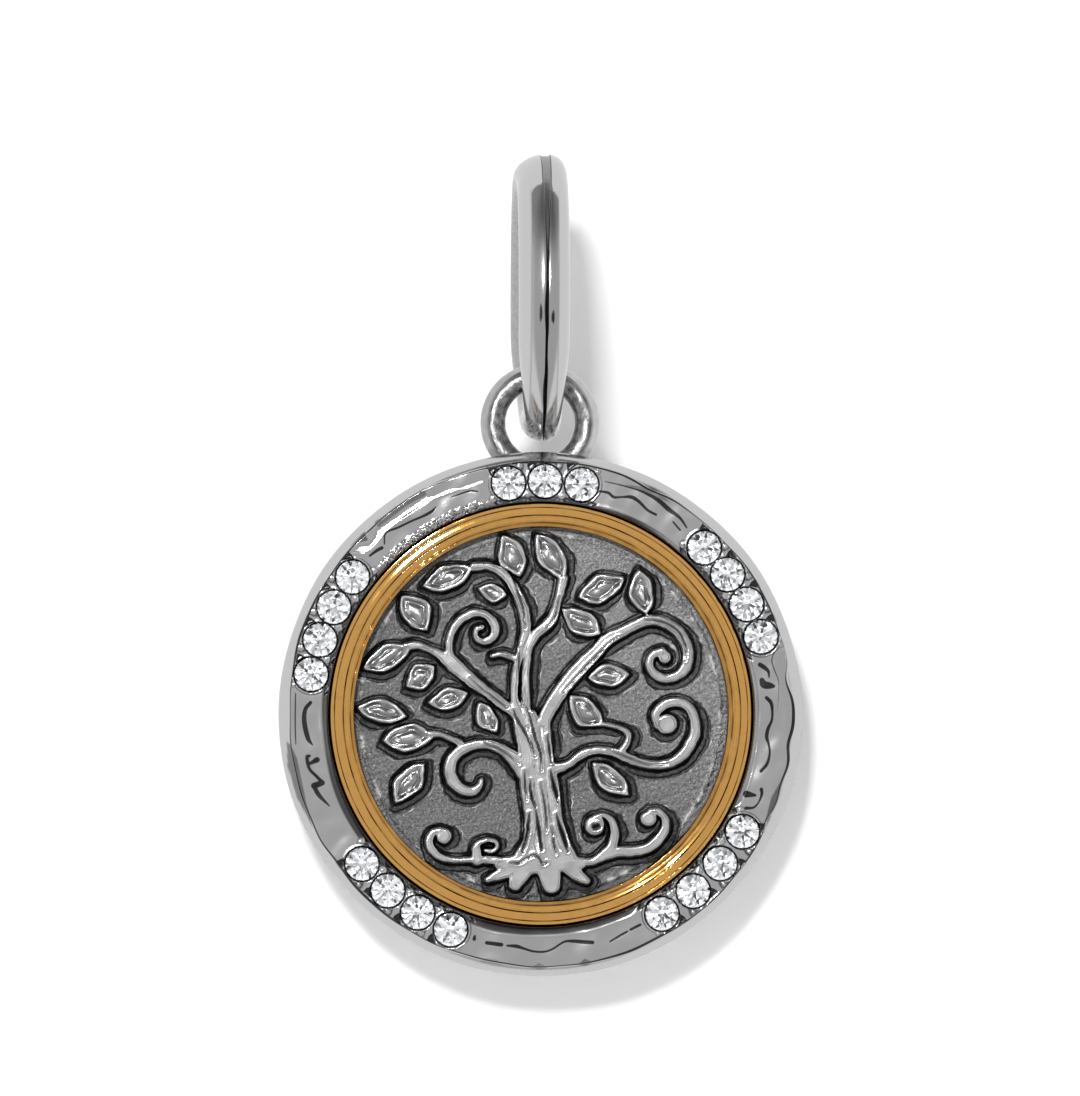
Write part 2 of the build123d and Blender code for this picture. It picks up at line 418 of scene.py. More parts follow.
class NodeTree:
    """Short calls to build a node tree."""

    def __init__(self, tree: bpy.types.NodeTree) -> None:
        """Keeps the tree to build in."""
        self.tree = tree

    def add(self, kind: str, settings: dict | None = None, **inputs: object) -> Node:
        """Adds a node.

        Args:
            kind: The node's type.
            settings: Its properties.
            inputs: Its inputs by name, with _ for a space, each a value or a socket to join.

        Returns:
            The node.
        """
        node = self.tree.nodes.new(kind)
        for key, value in (settings or {}).items():
            setattr(node, key, value)
        for key, value in inputs.items():
            self.put(node, key.replace("_", " "), value)
        return node

    def put(self, node: Node, key: str | int, value: object) -> None:
        """Sets or joins one input of a node, by its name or number."""
        if isinstance(value, Socket):
            self.tree.links.new(value, node.inputs[key])
        else:
            node.inputs[key].default_value = value

    def filled(self, node: Node, output: int, values: dict[int, object]) -> Socket:
        """One output of a node whose inputs are filled by number."""
        for key, value in values.items():
            self.put(node, key, value)
        return node.outputs[output]

    def math(self, operation: str, *values: object) -> Socket:
        """The result of a Math node on the values."""
        node = self.add("ShaderNodeMath", {"operation": operation})
        return self.filled(node, 0, dict(enumerate(values)))

    def times(self, first: object, second: object) -> Socket:
        """Two values multiplied."""
        return self.math("MULTIPLY", first, second)

    def mix(self, factor: object, first: object, second: object, blend: str = "MIX") -> Socket:
        """Two colours mixed, with more of the second as the factor grows."""
        node = self.add("ShaderNodeMix", {"data_type": "RGBA", "blend_type": blend})
        return self.filled(node, 2, {0: factor, 6: first, 7: second})

    def between(self, factor: object, first: object, second: object) -> Socket:
        """A value between two others, nearer to the second as the factor grows."""
        node = self.add("ShaderNodeMix", {"data_type": "FLOAT"})
        return self.filled(node, 0, {0: factor, 2: first, 3: second})

    def stretch(self, value: object, low: float, high: float, to_low: float, to_high: float) -> Socket:
        """A value mapped from one range to another, and kept in it."""
        limits = dict(enumerate((value, low, high, to_low, to_high)))
        return self.filled(self.add("ShaderNodeMapRange"), 0, limits)

    def mask(self, name: str) -> Socket:
        """One of the masks that the mesh carries."""
        return self.add("ShaderNodeAttribute", {"attribute_name": name}).outputs["Fac"]

    def object_place(self) -> Socket:
        """The place on the object."""
        return self.add("ShaderNodeTexCoord").outputs["Object"]

    def noise(self, scale: object, detail: float = 2.0) -> Socket:
        """Noise over the object, at a scale in features per metre."""
        node = self.add("ShaderNodeTexNoise", None, Vector=self.object_place(), Scale=scale, Detail=detail)
        return node.outputs["Fac"]

    def patchy(self, patches: Patches) -> Socket:
        """Patches over the object."""
        noise = self.noise(patches.scale, patches.detail)
        return self.stretch(noise, patches.low, patches.high, patches.least, patches.most)


def new_group(name: str, inputs: dict[str, tuple[str, object]], outputs: dict[str, str]) -> tuple:
    """An empty shader node group with its sockets.

    Args:
        name: The group's name.
        inputs: Each input's socket type and value, by name.
        outputs: Each output's socket type, by name.

    Returns:
        The group, its builder, and its input and output nodes.
    """
    tree = bpy.data.node_groups.new(name, "ShaderNodeTree")
    for key, (kind, value) in inputs.items():
        socket = tree.interface.new_socket(key, in_out="INPUT", socket_type=kind)
        socket.default_value = value
    for key, kind in outputs.items():
        tree.interface.new_socket(key, in_out="OUTPUT", socket_type=kind)
    build = NodeTree(tree)
    return tree, build, build.add("NodeGroupInput"), build.add("NodeGroupOutput")


class ShaderGroups:
    """The effects that several finishes share, each built once."""

    def __init__(self) -> None:
        """Builds the groups."""
        self.grain = self.build_grain()
        self.patina_and_shade = self.build_patina_and_shade()

    @staticmethod
    def build_grain() -> bpy.types.NodeTree:
        """Fine surface grain, at scales in grains per metre.

        Returns:
            The group, which puts out a height and a blotchy mask.
        """
        tree, build, source, sink = new_group(
            "surface_grain",
            {"Scale": ("NodeSocketFloat", 8000.0), "Blotch Scale": ("NodeSocketFloat", 900.0)},
            {"Height": "NodeSocketFloat", "Blotch": "NodeSocketFloat"},
        )
        broad = build.noise(source.outputs["Blotch Scale"], 3.0)
        build.put(sink, "Height", build.noise(source.outputs["Scale"], 4.0))
        build.put(sink, "Blotch", build.stretch(broad, 0.35, 0.65, 0.0, 1.0))
        return tree

    @staticmethod
    def build_patina_and_shade() -> bpy.types.NodeTree:
        """Darkening that gathers where a mask says, with an uneven edge: the antiqued relief's real patina,
        and painted shade and painted dark reflections on the other metals.

        Returns:
            The group, which puts out the colour and how dark it is.
        """
        tree, build, source, sink = new_group(
            "patina_and_shade",
            {
                "Bright": ("NodeSocketColor", (0.9, 0.9, 0.9, 1)),
                "Dark": ("NodeSocketColor", (0.02, 0.02, 0.02, 1)),
                "Mask": ("NodeSocketFloat", 0.0),
                "Breakup": ("NodeSocketFloat", 0.3),
                "Scale": ("NodeSocketFloat", 5000.0),
            },
            {"Color": "NodeSocketColor", "Darkening": "NodeSocketFloat"},
        )
        centred = build.math("SUBTRACT", build.noise(source.outputs["Scale"], 5.0), 0.5)
        uneven = build.times(centred, source.outputs["Breakup"])
        kept = build.stretch(build.math("ADD", source.outputs["Mask"], uneven), 0.0, 1.0, 0.0, 1.0)
        build.put(sink, "Color", build.mix(kept, source.outputs["Bright"], source.outputs["Dark"]))
        build.put(sink, "Darkening", kept)
        return tree


@dataclass(frozen=True)
class Finish:
    """What every finish has: a name and the shared shader groups."""

    name: str
    groups: ShaderGroups

    def start(self, metallic: float = 1.0) -> tuple[Material, NodeTree, Node]:
        """A new material with only its output and a Principled BSDF.

        Args:
            metallic: 1 for a metal, 0 for a stone.

        Returns:
            The material, its builder, and the Principled BSDF.
        """
        made = bpy.data.materials.new(self.name)
        made.use_nodes = True
        made.node_tree.nodes.clear()
        build = NodeTree(made.node_tree)
        surface = build.add("ShaderNodeBsdfPrincipled", None, Metallic=metallic)
        build.add("ShaderNodeOutputMaterial", None, Surface=surface.outputs[0])
        return made, build, surface

    def grouped(self, build: NodeTree, tree: bpy.types.NodeTree, **inputs: object) -> Node:
        """A shared group placed in a material with its own values, by name."""
        return build.add("ShaderNodeGroup", {"node_tree": tree}, **inputs)

    def bump(self, build: NodeTree, surface: Node, height: Socket, distance: float) -> None:
        """Gives the surface fine grain, as high as the distance where the height is 1."""
        node = build.add("ShaderNodeBump", None, Height=height, Distance=distance)
        build.put(surface, "Normal", node.outputs[0])

    def material(self) -> Material:
        """The finish's material, made once."""
        return bpy.data.materials.get(self.name) or self.build()

    def build(self) -> Material:
        """Builds the material. Each finish has its own way."""
        raise NotImplementedError


@dataclass(frozen=True)
class BrightSilver(Finish):
    """Polished silver-coloured metal, dark where its masks say: painted shade in the gaps, seats and grooves,
    and painted dark reflections on the flat facets and across the bail.

    A black line fades from line_tone to nothing over line_soft millimetres on both sides of its edge.
    """

    bright: tuple = (0.62, 0.62, 0.62, 1)
    dark: tuple = (0.03, 0.03, 0.032, 1)
    roughness: float = 0.14
    dark_roughness: float = 0.2
    line_soft: float = 0.014
    line_tone: float = 0.97
    breakup: float = 0.12
    breakup_scale: float = 9000.0
    grain_scale: float = 22000.0
    blotch_scale: float = 700.0
    grain_height: float = 0.012 * MM
    least_grain: float = 0.15

    def build(self) -> Material:
        """Builds the material.

        Returns:
            The material.
        """
        made, build, surface = self.start()
        line = build.stretch(build.mask("ink"), -self.line_soft, self.line_soft, self.line_tone, 0.0)
        # The shade mask and the black lines are painted shade and painted dark reflection.
        dark = build.math("MAXIMUM", build.mask("shade"), line)
        darkened = self.grouped(build, self.groups.patina_and_shade, Bright=self.bright, Dark=self.dark,
                            Mask=dark, Breakup=self.breakup, Scale=self.breakup_scale)
        grain = self.grouped(build, self.groups.grain, Scale=self.grain_scale, Blotch_Scale=self.blotch_scale)
        build.put(surface, "Base Color", darkened.outputs["Color"])
        blotch = grain.outputs["Blotch"]
        polish = build.stretch(blotch, 0.0, 1.0, self.roughness * 0.8, self.roughness * 1.3)
        build.put(surface, "Roughness", build.between(darkened.outputs["Darkening"], polish, self.dark_roughness))
        rough = build.math("ADD", build.mask("rough"), self.least_grain)
        self.bump(build, surface, build.times(grain.outputs["Height"], rough), self.grain_height)
        return made


@dataclass(frozen=True)
class AntiquedSilver(Finish):
    """Cast silver-coloured metal, blackened beside its relief by patina, with painted shade that widens the
    black on the relief's lower right side, and painted highlights on the shoulders, the leaf rims and the
    lip.

    The mesh says how far each place is outside the relief's edge, in millimetres, and the lines that
    follow the edge are drawn from that. Each line gives its middle and its half width.
    """

    crest: tuple = (0.58, 0.58, 0.58, 1)
    # The colour of the painted highlights on the shoulders, leaf rims and gleams.
    shoulder: tuple = (1.0, 1.0, 1.0, 1)
    hollow: tuple = (0.075, 0.075, 0.077, 1)
    floor: tuple = (0.165, 0.165, 0.167, 1)
    pale_floor: tuple = (0.24, 0.24, 0.243, 1)
    moat: tuple = (0.012, 0.012, 0.013, 1)
    shoulder_highlight_line: Pair = (-0.055, 0.034)
    leaf_rim_highlight_line: Pair = (-0.085, 0.066)
    contour_line: Pair = (-0.145, 0.022)
    outer_line: Pair = (0.40, 0.028)
    outer_gleam: Pair = (0.46, 0.032)
    contour_patches: Patches = Patches(2600.0, 0.4, 0.6, 0.0, 0.6)
    leaf_rim_highlight_patches: Patches = Patches(1700.0, 0.42, 0.57, 0.08, 0.95)
    shoulder_highlight_patches: Patches = Patches(1500.0, 0.36, 0.52, 0.35, 0.9)
    sand: Patches = Patches(9000.0, 0.34, 0.66, 0.64, 1.36, 4.0)
    speck_patches: Patches = Patches(1500.0, 0.47, 0.6, 0.0, 0.85)
    outline_patches: Patches = Patches(1700.0, 0.42, 0.56, 0.1, 1.0)
    gleam_patches: Patches = Patches(2100.0, 0.5, 0.62, 0.0, 0.85)
    speck_scale: float = 5200.0
    wander_scale: float = 1300.0
    wander: float = 0.3
    floor_roughness: float = 0.45
    relief_roughness: float = 0.24
    relief_grain: float = 0.16
    grain_height: float = 0.035 * MM

    def line(self, build: NodeTree, place: Socket, at: Pair) -> Socket:
        """A soft line along the relief's edge, given by its middle and its half width."""
        away = build.math("ABSOLUTE", build.math("SUBTRACT", place, at[0]))
        return build.stretch(away, at[1] * 0.35, at[1], 1.0, 0.0)

    def top(self, build: NodeTree, edge: Socket) -> Socket:
        """The top of the relief: grey crests, painted highlights on the shoulders and leaf rims and in the
        leaf hollows, dark cuts and leaf hollows.

        Args:
            build: The material's builder.
            edge: How far outside the relief's edge each place is.

        Returns:
            The colour.
        """
        low = build.math("SUBTRACT", 1.0, build.stretch(build.mask("relief"), 0.35, 0.95, 0.0, 1.0))
        darkened = self.grouped(build, self.groups.patina_and_shade, Bright=self.crest, Dark=self.hollow,
                            Mask=low, Breakup=0.9, Scale=2100.0)
        leaf, cut = build.mask("leaf"), build.mask("cut")
        contour = build.times(self.line(build, edge, self.contour_line), build.patchy(self.contour_patches))
        contour = build.times(contour, build.math("SUBTRACT", 1.0, leaf))
        lined = build.mix(contour, darkened.outputs["Color"], self.hollow)
        grey = build.mix(build.stretch(cut, -0.02, 0.01, 0.85, 0.0), lined, self.hollow)
        black = build.mix(build.stretch(cut, -0.06, -0.035, 1.0, 0.0), grey, self.moat)
        # Painted highlights along the leaf rims and the shoulders, and in the leaf hollows' gleams.
        rim = build.times(self.line(build, edge, self.leaf_rim_highlight_line), leaf)
        rim = build.times(rim, build.patchy(self.leaf_rim_highlight_patches))
        painted_shoulder_highlight = build.times(self.line(build, edge, self.shoulder_highlight_line),
                                build.patchy(self.shoulder_highlight_patches))
        lit = build.math("MAXIMUM", painted_shoulder_highlight, rim)
        bright = build.mix(build.math("MAXIMUM", lit, build.mask("glint")), black, self.shoulder)
        return build.mix(build.stretch(edge, -0.02, 0.004, 0.0, 0.9), bright, self.moat)

    def ground(self, build: NodeTree, edge: Socket) -> Socket:
        """The floor: black beside the relief, then dark, then sandy grey with bright specks. The black and
        dark bands are patina, wider and darker on the relief's lower right side as painted shade, with a
        broken painted highlight outside them and on the lip.

        Args:
            build: The material's builder.
            edge: How far outside the relief's edge each place is.

        Returns:
            The colour.
        """
        grey = build.mix(build.mask("pale"), self.floor, self.pale_floor)
        sandy = build.mix(1.0, grey, build.patchy(self.sand), "MULTIPLY")
        grains = build.add("ShaderNodeTexVoronoi", None, Vector=build.object_place(), Scale=self.speck_scale)
        specks = build.times(build.stretch(grains.outputs["Distance"], 0.08, 0.2, 1.0, 0.0),
                             build.patchy(self.speck_patches))
        sand = build.mix(specks, sandy, self.crest)
        drift = build.math("SUBTRACT", build.noise(self.wander_scale), 0.5)
        wandering = build.math("ADD", edge, build.times(drift, self.wander))
        # The shadow side mask paints shade: the dark bands grow wider and darker on the lower right.
        shadow_side = build.mask("shadow_side")
        place = build.math("DIVIDE", wandering, build.stretch(shadow_side, 0.2, 0.8, 0.36, 1.0))
        core = build.stretch(place, 0.09, 0.21, 1.0, 0.0)
        zone = build.times(build.stretch(place, 0.34, 0.43, 1.0, 0.0),
                           build.stretch(shadow_side, 0.3, 0.75, 0.12, 0.7))
        patchy = build.times(build.patchy(self.outline_patches), build.stretch(shadow_side, 0.35, 0.65, 0.0, 1.0))
        outline = build.times(self.line(build, place, self.outer_line), patchy)
        dark = build.math("MAXIMUM", build.math("MAXIMUM", core, zone), outline)
        blackened = build.mix(dark, sand, self.moat)
        # A broken light line outside the dark bands and along the lip: painted highlight.
        broken = build.patchy(self.gleam_patches)
        gleam = build.times(self.line(build, place, self.outer_gleam), broken)
        lit = build.math("MAXIMUM", gleam, build.times(build.mask("lip"), broken))
        return build.mix(lit, blackened, self.crest)

    def build(self) -> Material:
        """Builds the material.

        Returns:
            The material.
        """
        made, build, surface = self.start()
        edge = build.mask("edge")
        raised = build.stretch(edge, -0.012, 0.012, 1.0, 0.0)
        build.put(surface, "Base Color", build.mix(raised, self.ground(build, edge), self.top(build, edge)))
        rough = build.stretch(raised, 0.0, 1.0, self.floor_roughness, self.relief_roughness)
        build.put(surface, "Roughness", rough)
        grain = self.grouped(build, self.groups.grain, Scale=15000.0, Blotch_Scale=1200.0)
        height = build.times(grain.outputs["Height"], build.stretch(raised, 0.0, 1.0, 1.0, self.relief_grain))
        self.bump(build, surface, height, self.grain_height)
        return made


@dataclass(frozen=True)
class PolishedGold(Finish):
    """Polished gold-coloured metal, darker in its grooves and on its sides: painted shade."""

    bright: tuple = (1.0, 0.55, 0.16, 1)
    groove_shade: tuple = (0.07, 0.018, 0.001, 1)
    roughness: float = 0.055
    grain_height: float = 0.001 * MM

    def build(self) -> Material:
        """Builds the material.

        Returns:
            The material.
        """
        made, build, surface = self.start()
        darkened = self.grouped(build, self.groups.patina_and_shade, Bright=self.bright, Dark=self.groove_shade,
                            Mask=build.mask("shade"), Breakup=0.35, Scale=4000.0)
        grain = self.grouped(build, self.groups.grain, Scale=16000.0, Blotch_Scale=1500.0)
        build.put(surface, "Base Color", darkened.outputs["Color"])
        blotch = grain.outputs["Blotch"]
        polish = build.stretch(blotch, 0.0, 1.0, self.roughness * 0.8, self.roughness * 1.4)
        build.put(surface, "Roughness", polish)
        self.bump(build, surface, grain.outputs["Height"], self.grain_height)
        return made


@dataclass(frozen=True)
class ClearStone(Finish):
    """A clear cut stone that throws light back from its facets."""

    tint: tuple = (0.95, 0.97, 1.0, 1)
    ior: float = 1.95
    most_roughness: float = 0.03

    def build(self) -> Material:
        """Builds the material.

        Returns:
            The material.
        """
        made, build, surface = self.start(metallic=0.0)
        grain = self.grouped(build, self.groups.grain, Scale=9000.0, Blotch_Scale=2500.0)
        build.put(surface, "Base Color", self.tint)
        build.put(surface, "IOR", self.ior)
        build.put(surface, "Transmission Weight", 1.0)
        rough = build.stretch(grain.outputs["Blotch"], 0.0, 1.0, 0.0, self.most_roughness)
        build.put(surface, "Roughness", rough)
        return made


# Sub-assemblies


@dataclass
class DiscPlane:
    """The plane of the pendant's disc, seen from the front: right, up, and out to the viewer."""

    centre_z: float

    def place(self, right: Array, up: Array, out: Array) -> Array:
        """Points right of and above the disc's centre and out of its middle plane, one row each."""
        return np.stack([right, -out, self.centre_z + up], axis=1)


@dataclass(frozen=True)
class Limb:
    """A limb, root or strand of the trunk, in percent of the medallion's visible radius.

    Each point gives how far right and up it is, and the limb's width there. A limb that ends in a
    round eye gives the eye's radius.
    """

    points: tuple
    eye: float = 0


@dataclass(frozen=True)
class Leaf:
    """A pointed leaf, in percent of the medallion's visible radius."""

    across: float
    up: float
    length: float
    width: float
    turn: float


LIMBS = {
    "trunk_left": Limb(((-13, 6, 5), (-10.5, -8, 7.5), (-7.5, -24, 9), (-6.5, -40, 9.5), (-5, -55, 8),
        (-5.5, -67, 7.5), (-11, -76, 7))),
    "trunk_middle": Limb(((-4, 0, 5), (-2.5, -12, 8), (-0.5, -28, 9), (0.5, -45, 10), (2, -62, 10),
        (3, -78, 10))),
    "trunk_right": Limb(((3, 2, 6), (3, -12, 6), (4.5, -28, 8), (6.2, -42, 8.5), (8, -55, 8.5),
        (11.5, -67, 8), (16.5, -76.5, 7))),
    "far_left_limb": Limb(((-9, -4, 8), (-14.5, 2, 7), (-20, 5.5, 6.4), (-30, 12.8, 6.8), (-40, 20.5, 8),
        (-48, 28, 8.5), (-54.5, 32.2, 5.8), (-60, 35.2, 4.2), (-66, 37.2, 4.5), (-72, 36.5, 5))),
    "upper_left_scroll": Limb(((-47, 26, 7), (-49, 33, 5.5), (-48.5, 40, 5), (-46.5, 46, 5), (-42, 51.5, 5),
        (-35.5, 54.5, 5), (-29, 53, 5.2), (-24.6, 47.5, 5.6), (-25.4, 41.6, 5.2), (-30.6, 39.2, 4.6),
        (-34.6, 41.4, 4.3), (-34.6, 45.4, 3.8), (-31, 46.6, 3.2))),
    "left_limb": Limb(((-13.5, 2, 5.5), (-14, 14, 5), (-13.2, 25, 5), (-10.5, 35, 5), (-7.8, 45, 6.5),
        (-8.8, 54, 6.6), (-11.3, 62, 6.3), (-15.8, 70, 5.8), (-21.3, 76, 5.2), (-28, 79.4, 4.8),
        (-36, 79, 5))),
    "left_limb_spur": Limb(((-12.5, 29.5, 4.5), (-17, 31.5, 4.4), (-21.5, 32.6, 3.8), (-26, 31.2, 3))),
    "middle_limb": Limb(((-7.5, -4, 6), (-7.8, 10, 5.2), (-7.6, 24, 5), (-6.2, 35, 5), (-2.5, 42.5, 6),
        (2.5, 47, 6.2), (6.5, 52.5, 6.2), (9, 59, 5.3), (10.6, 66, 5.2), (12, 73, 6))),
    "right_limb": Limb(((1.5, -4, 8), (6, 5, 8.6), (12, 14, 8.8), (20, 23.5, 8.6), (28, 32, 8), (35, 39, 8),
        (43, 44, 6.6), (51, 48, 6), (60, 50.5, 6.4), (68, 48.8, 6.8), (75, 43.3, 7), (78.9, 35.6, 7),
        (79, 28, 6.6), (75.4, 22, 6.3), (69, 19.2, 6), (62.6, 20.8, 5.6), (58.6, 26, 5.2), (60.2, 31.6, 5),
        (65, 33.4, 5.2)), 3.6),
    "low_right_limb": Limb(((5, -30, 8), (14, -27.2, 5.6), (21, -22.4, 5.4), (29, -19.4, 5),
        (37, -19.8, 5.6), (45, -22.8, 6), (53, -26, 5.6), (61, -27.4, 5.4), (69, -26.4, 5.8), (76, -22, 6.4),
        (81, -15.5, 6.6), (83, -8, 6.4), (82.2, -0.5, 6.4), (78.2, 4.8, 6.3), (72, 6.4, 6.2), (65.6, 4.6, 6),
        (61.8, 0, 5.2), (63, -5.6, 5)), 5.6),
    "low_right_twig": Limb(((43, -20.5, 5), (46.3, -15.5, 4.5), (47, -11, 4), (44, -7.8, 3.6), (39, -6, 3.2),
        (34, -5.3, 3.2))),
    "low_left_limb": Limb(((-7, -31, 12), (-14, -24, 9), (-21, -18.6, 6.8), (-29, -16, 6), (-37, -16.8, 5.8),
        (-44, -20.4, 6.4), (-48.2, -26, 7), (-48.5, -32, 7), (-46, -37.4, 7), (-41.5, -40.7, 6.4),
        (-36, -41, 5.4), (-32.6, -38.6, 4.2), (-31.8, -35, 3))),
    "low_left_twig": Limb(((-43, -15.5, 4.5), (-49, -12.7, 4), (-55, -10.8, 4), (-60, -11, 5))),
    "left_root": Limb(((-9, -77.5, 8), (-18, -78.5, 5), (-28, -78, 4.8), (-38, -78, 4), (-46, -78.2, 4),
        (-53, -76.8, 5), (-58, -73, 5.6), (-60, -68, 5.4), (-58, -63.8, 4.4), (-53.8, -62, 3.6)), 4.6),
    "left_root_spur": Limb(((-34, -78, 7), (-34.3, -73, 6), (-33.3, -69.4, 4.2), (-29, -67.4, 3.5),
        (-25, -68.2, 3.4), (-23.6, -71, 3.2), (-26, -73.4, 3), (-29.5, -73, 2.6))),
    "right_root": Limb(((12, -76, 8), (20, -78.6, 5.2), (28, -78.8, 5), (34.8, -75, 6.4), (39.2, -69, 6),
        (39.7, -62, 5.4), (37.6, -56.6, 4.6), (33.4, -54, 3.4), (29, -54.8, 3)), 5.6),
    "right_root_spur": Limb(((33, -76.5, 6), (42, -73.6, 6.6), (50, -73.5, 6.4), (57.5, -72, 6.2),
        (63.5, -67.5, 6.2), (67, -61.5, 6), (66.8, -56, 5.4), (63, -52.2, 4.6), (58.6, -52, 3.8)), 4.6),
    "root_mass": Limb(((-22, -80.5, 6), (-10, -81, 10), (2, -80.5, 11), (14, -80.5, 9), (22, -80, 6))),
    "root_web_left": Limb(((-4.5, -67, 2.5), (-4, -72, 5), (-4, -78, 8))),
    "root_web_right": Limb(((7, -66, 2.5), (8, -72, 5), (8, -78, 8))),
    "toe_far_left": Limb(((-14, -81.5, 9), (-20, -85, 7.5), (-28.5, -89, 4))),
    "toe_left": Limb(((-9, -82, 12), (-12, -87.5, 10.5), (-13.5, -91.5, 8))),
    "toe_middle": Limb(((3, -80, 14), (5, -87, 13), (5.8, -91.5, 11))),
    "toe_right": Limb(((14, -80, 11), (19, -85.5, 8.5), (25, -89.5, 5))),
}

# Cuts in the bark. Each point gives how far right and up it is, and the cut's width there.
BARK_CUTS = (
    ((-14.6, 2.4, 0.8), (-12.7, -2.6, 1.6), (-8.9, -8.9, 1.8), (-5.1, -16.5, 1.6), (-3.2, -22.8, 0.6)),
    ((-7.6, 3.7, 0.8), (-4.5, -6.4, 1.6), (-1.9, -15.3, 1.8), (0, -21.6, 1.6), (0.2, -30.4, 0.6)),
    ((3.7, -11.5, 0.6), (5, -19, 2), (6, -25.4, 1.2)),
    ((5.6, -30.4, 0.8), (6.5, -36.8, 2.4), (8.2, -43, 2.8), (9.1, -47.5, 1)),
    ((-5.4, -35.5, 0.6), (-4.9, -43, 2.2), (-3.2, -50, 1.2)),
    ((-8.6, -30, 0.5), (-8.2, -38, 1.4), (-7.6, -46, 0.6)),
    ((0.6, -36.8, 0.5), (2.2, -48, 1.2), (3, -55.7, 1.2), (2.5, -63.3, 0.5)),
    ((-2.6, -51.9, 0.8), (-1.3, -60.8, 2.2), (0.2, -72.2, 1.8)),
    ((-6.1, -53.2, 0.8), (-7, -63.3, 2.6), (-9.5, -73.4, 1.6)),
    ((8.8, -53.2, 0.8), (10.7, -60.8, 2.6), (13.2, -68.4, 2.8), (14.9, -73.4, 1)),
    ((6, -60, 0.5), (7, -68, 1.3), (8.4, -75, 0.6)),
    ((-16.5, -79.8, 0.6), (-11.4, -79.8, 1.2), (-7.6, -77.2, 1.2), (-3.8, -75.3, 1.2), (-1.3, -76.6, 1.2),
     (1.2, -79.8, 1.2), (3.5, -79.5, 0.8)),
    ((-16.6, 77.9, 0.5), (-13.1, 68.3, 1.2), (-9.7, 57.3, 1.2), (-8.3, 46.3, 0.6)),
    ((-11.5, 36, 0.5), (-11.8, 26, 1.3), (-10.6, 14, 1.6), (-9, 4, 0.8)),
    ((-4.5, 30, 0.5), (-5.4, 20, 1.1), (-5, 10, 1), (-3.6, 2, 0.5)),
    ((3.6, 46.4, 0.5), (8, 53.6, 1), (10.2, 63, 0.5)),
    ((28.6, -60.2, 3.2), (30.6, -60, 3.4)),
    ((-38, 19.5, 0.4), (-28, 11, 1), (-18, 4, 0.9)),
    ((12, 11.5, 0.5), (22, 23, 1), (33, 34.5, 0.9), (42, 41.5, 0.4)),
    ((56, 50.5, 0.4), (66, 49.6, 1), (74, 44.5, 1.1), (78, 36, 0.9), (77.6, 28.5, 0.4)),
    ((-12, -26.5, 0.5), (-20, -19.6, 1.1), (-30, -15.6, 0.8)),
    ((36, -19, 0.4), (46, -22.8, 1), (58, -27, 0.8), (68, -26.6, 0.4)),
)

LEAVES = {
    "far_left_tip": Leaf(-82.5, 30.5, 30, 13, 24),
    "far_left_upper": Leaf(-67.8, 54.3, 25, 15, -54),
    "left_tip": Leaf(-50, 73.5, 30, 13.5, 20),
    "left_small": Leaf(-26, 66, 17.5, 9.5, -14),
    "middle_left": Leaf(-15.8, 85, 25.5, 14.5, -66),
    "middle_tip": Leaf(5, 84.5, 31, 14, -59),
    "middle_right": Leaf(22.3, 49.8, 26, 13, -33),
    "right_upper": Leaf(32.5, 68, 28, 14, 24),
    "right_top": Leaf(55, 65.5, 26, 13.5, 99),
    "right_lower": Leaf(36.3, 20.5, 24, 12.5, 4),
    "right_inner": Leaf(24.5, 1.8, 25, 14, -44),
    "low_right": Leaf(37.6, -34.8, 28, 12.5, -41),
    "low_left_tip": Leaf(-71, -13.5, 29, 14.5, 5),
    "far_left_lower": Leaf(-64.5, 20.3, 20, 13, 36),
    "left_inner": Leaf(-49.5, 9, 24, 11.5, 14),
    "far_left_edge": Leaf(-85.5, 1.4, 29, 12.5, -10),
    "low_left": Leaf(-70, -37, 28, 13.5, 54),
    "trunk_side": Leaf(-28.5, -1.8, 20, 11, -58),
}


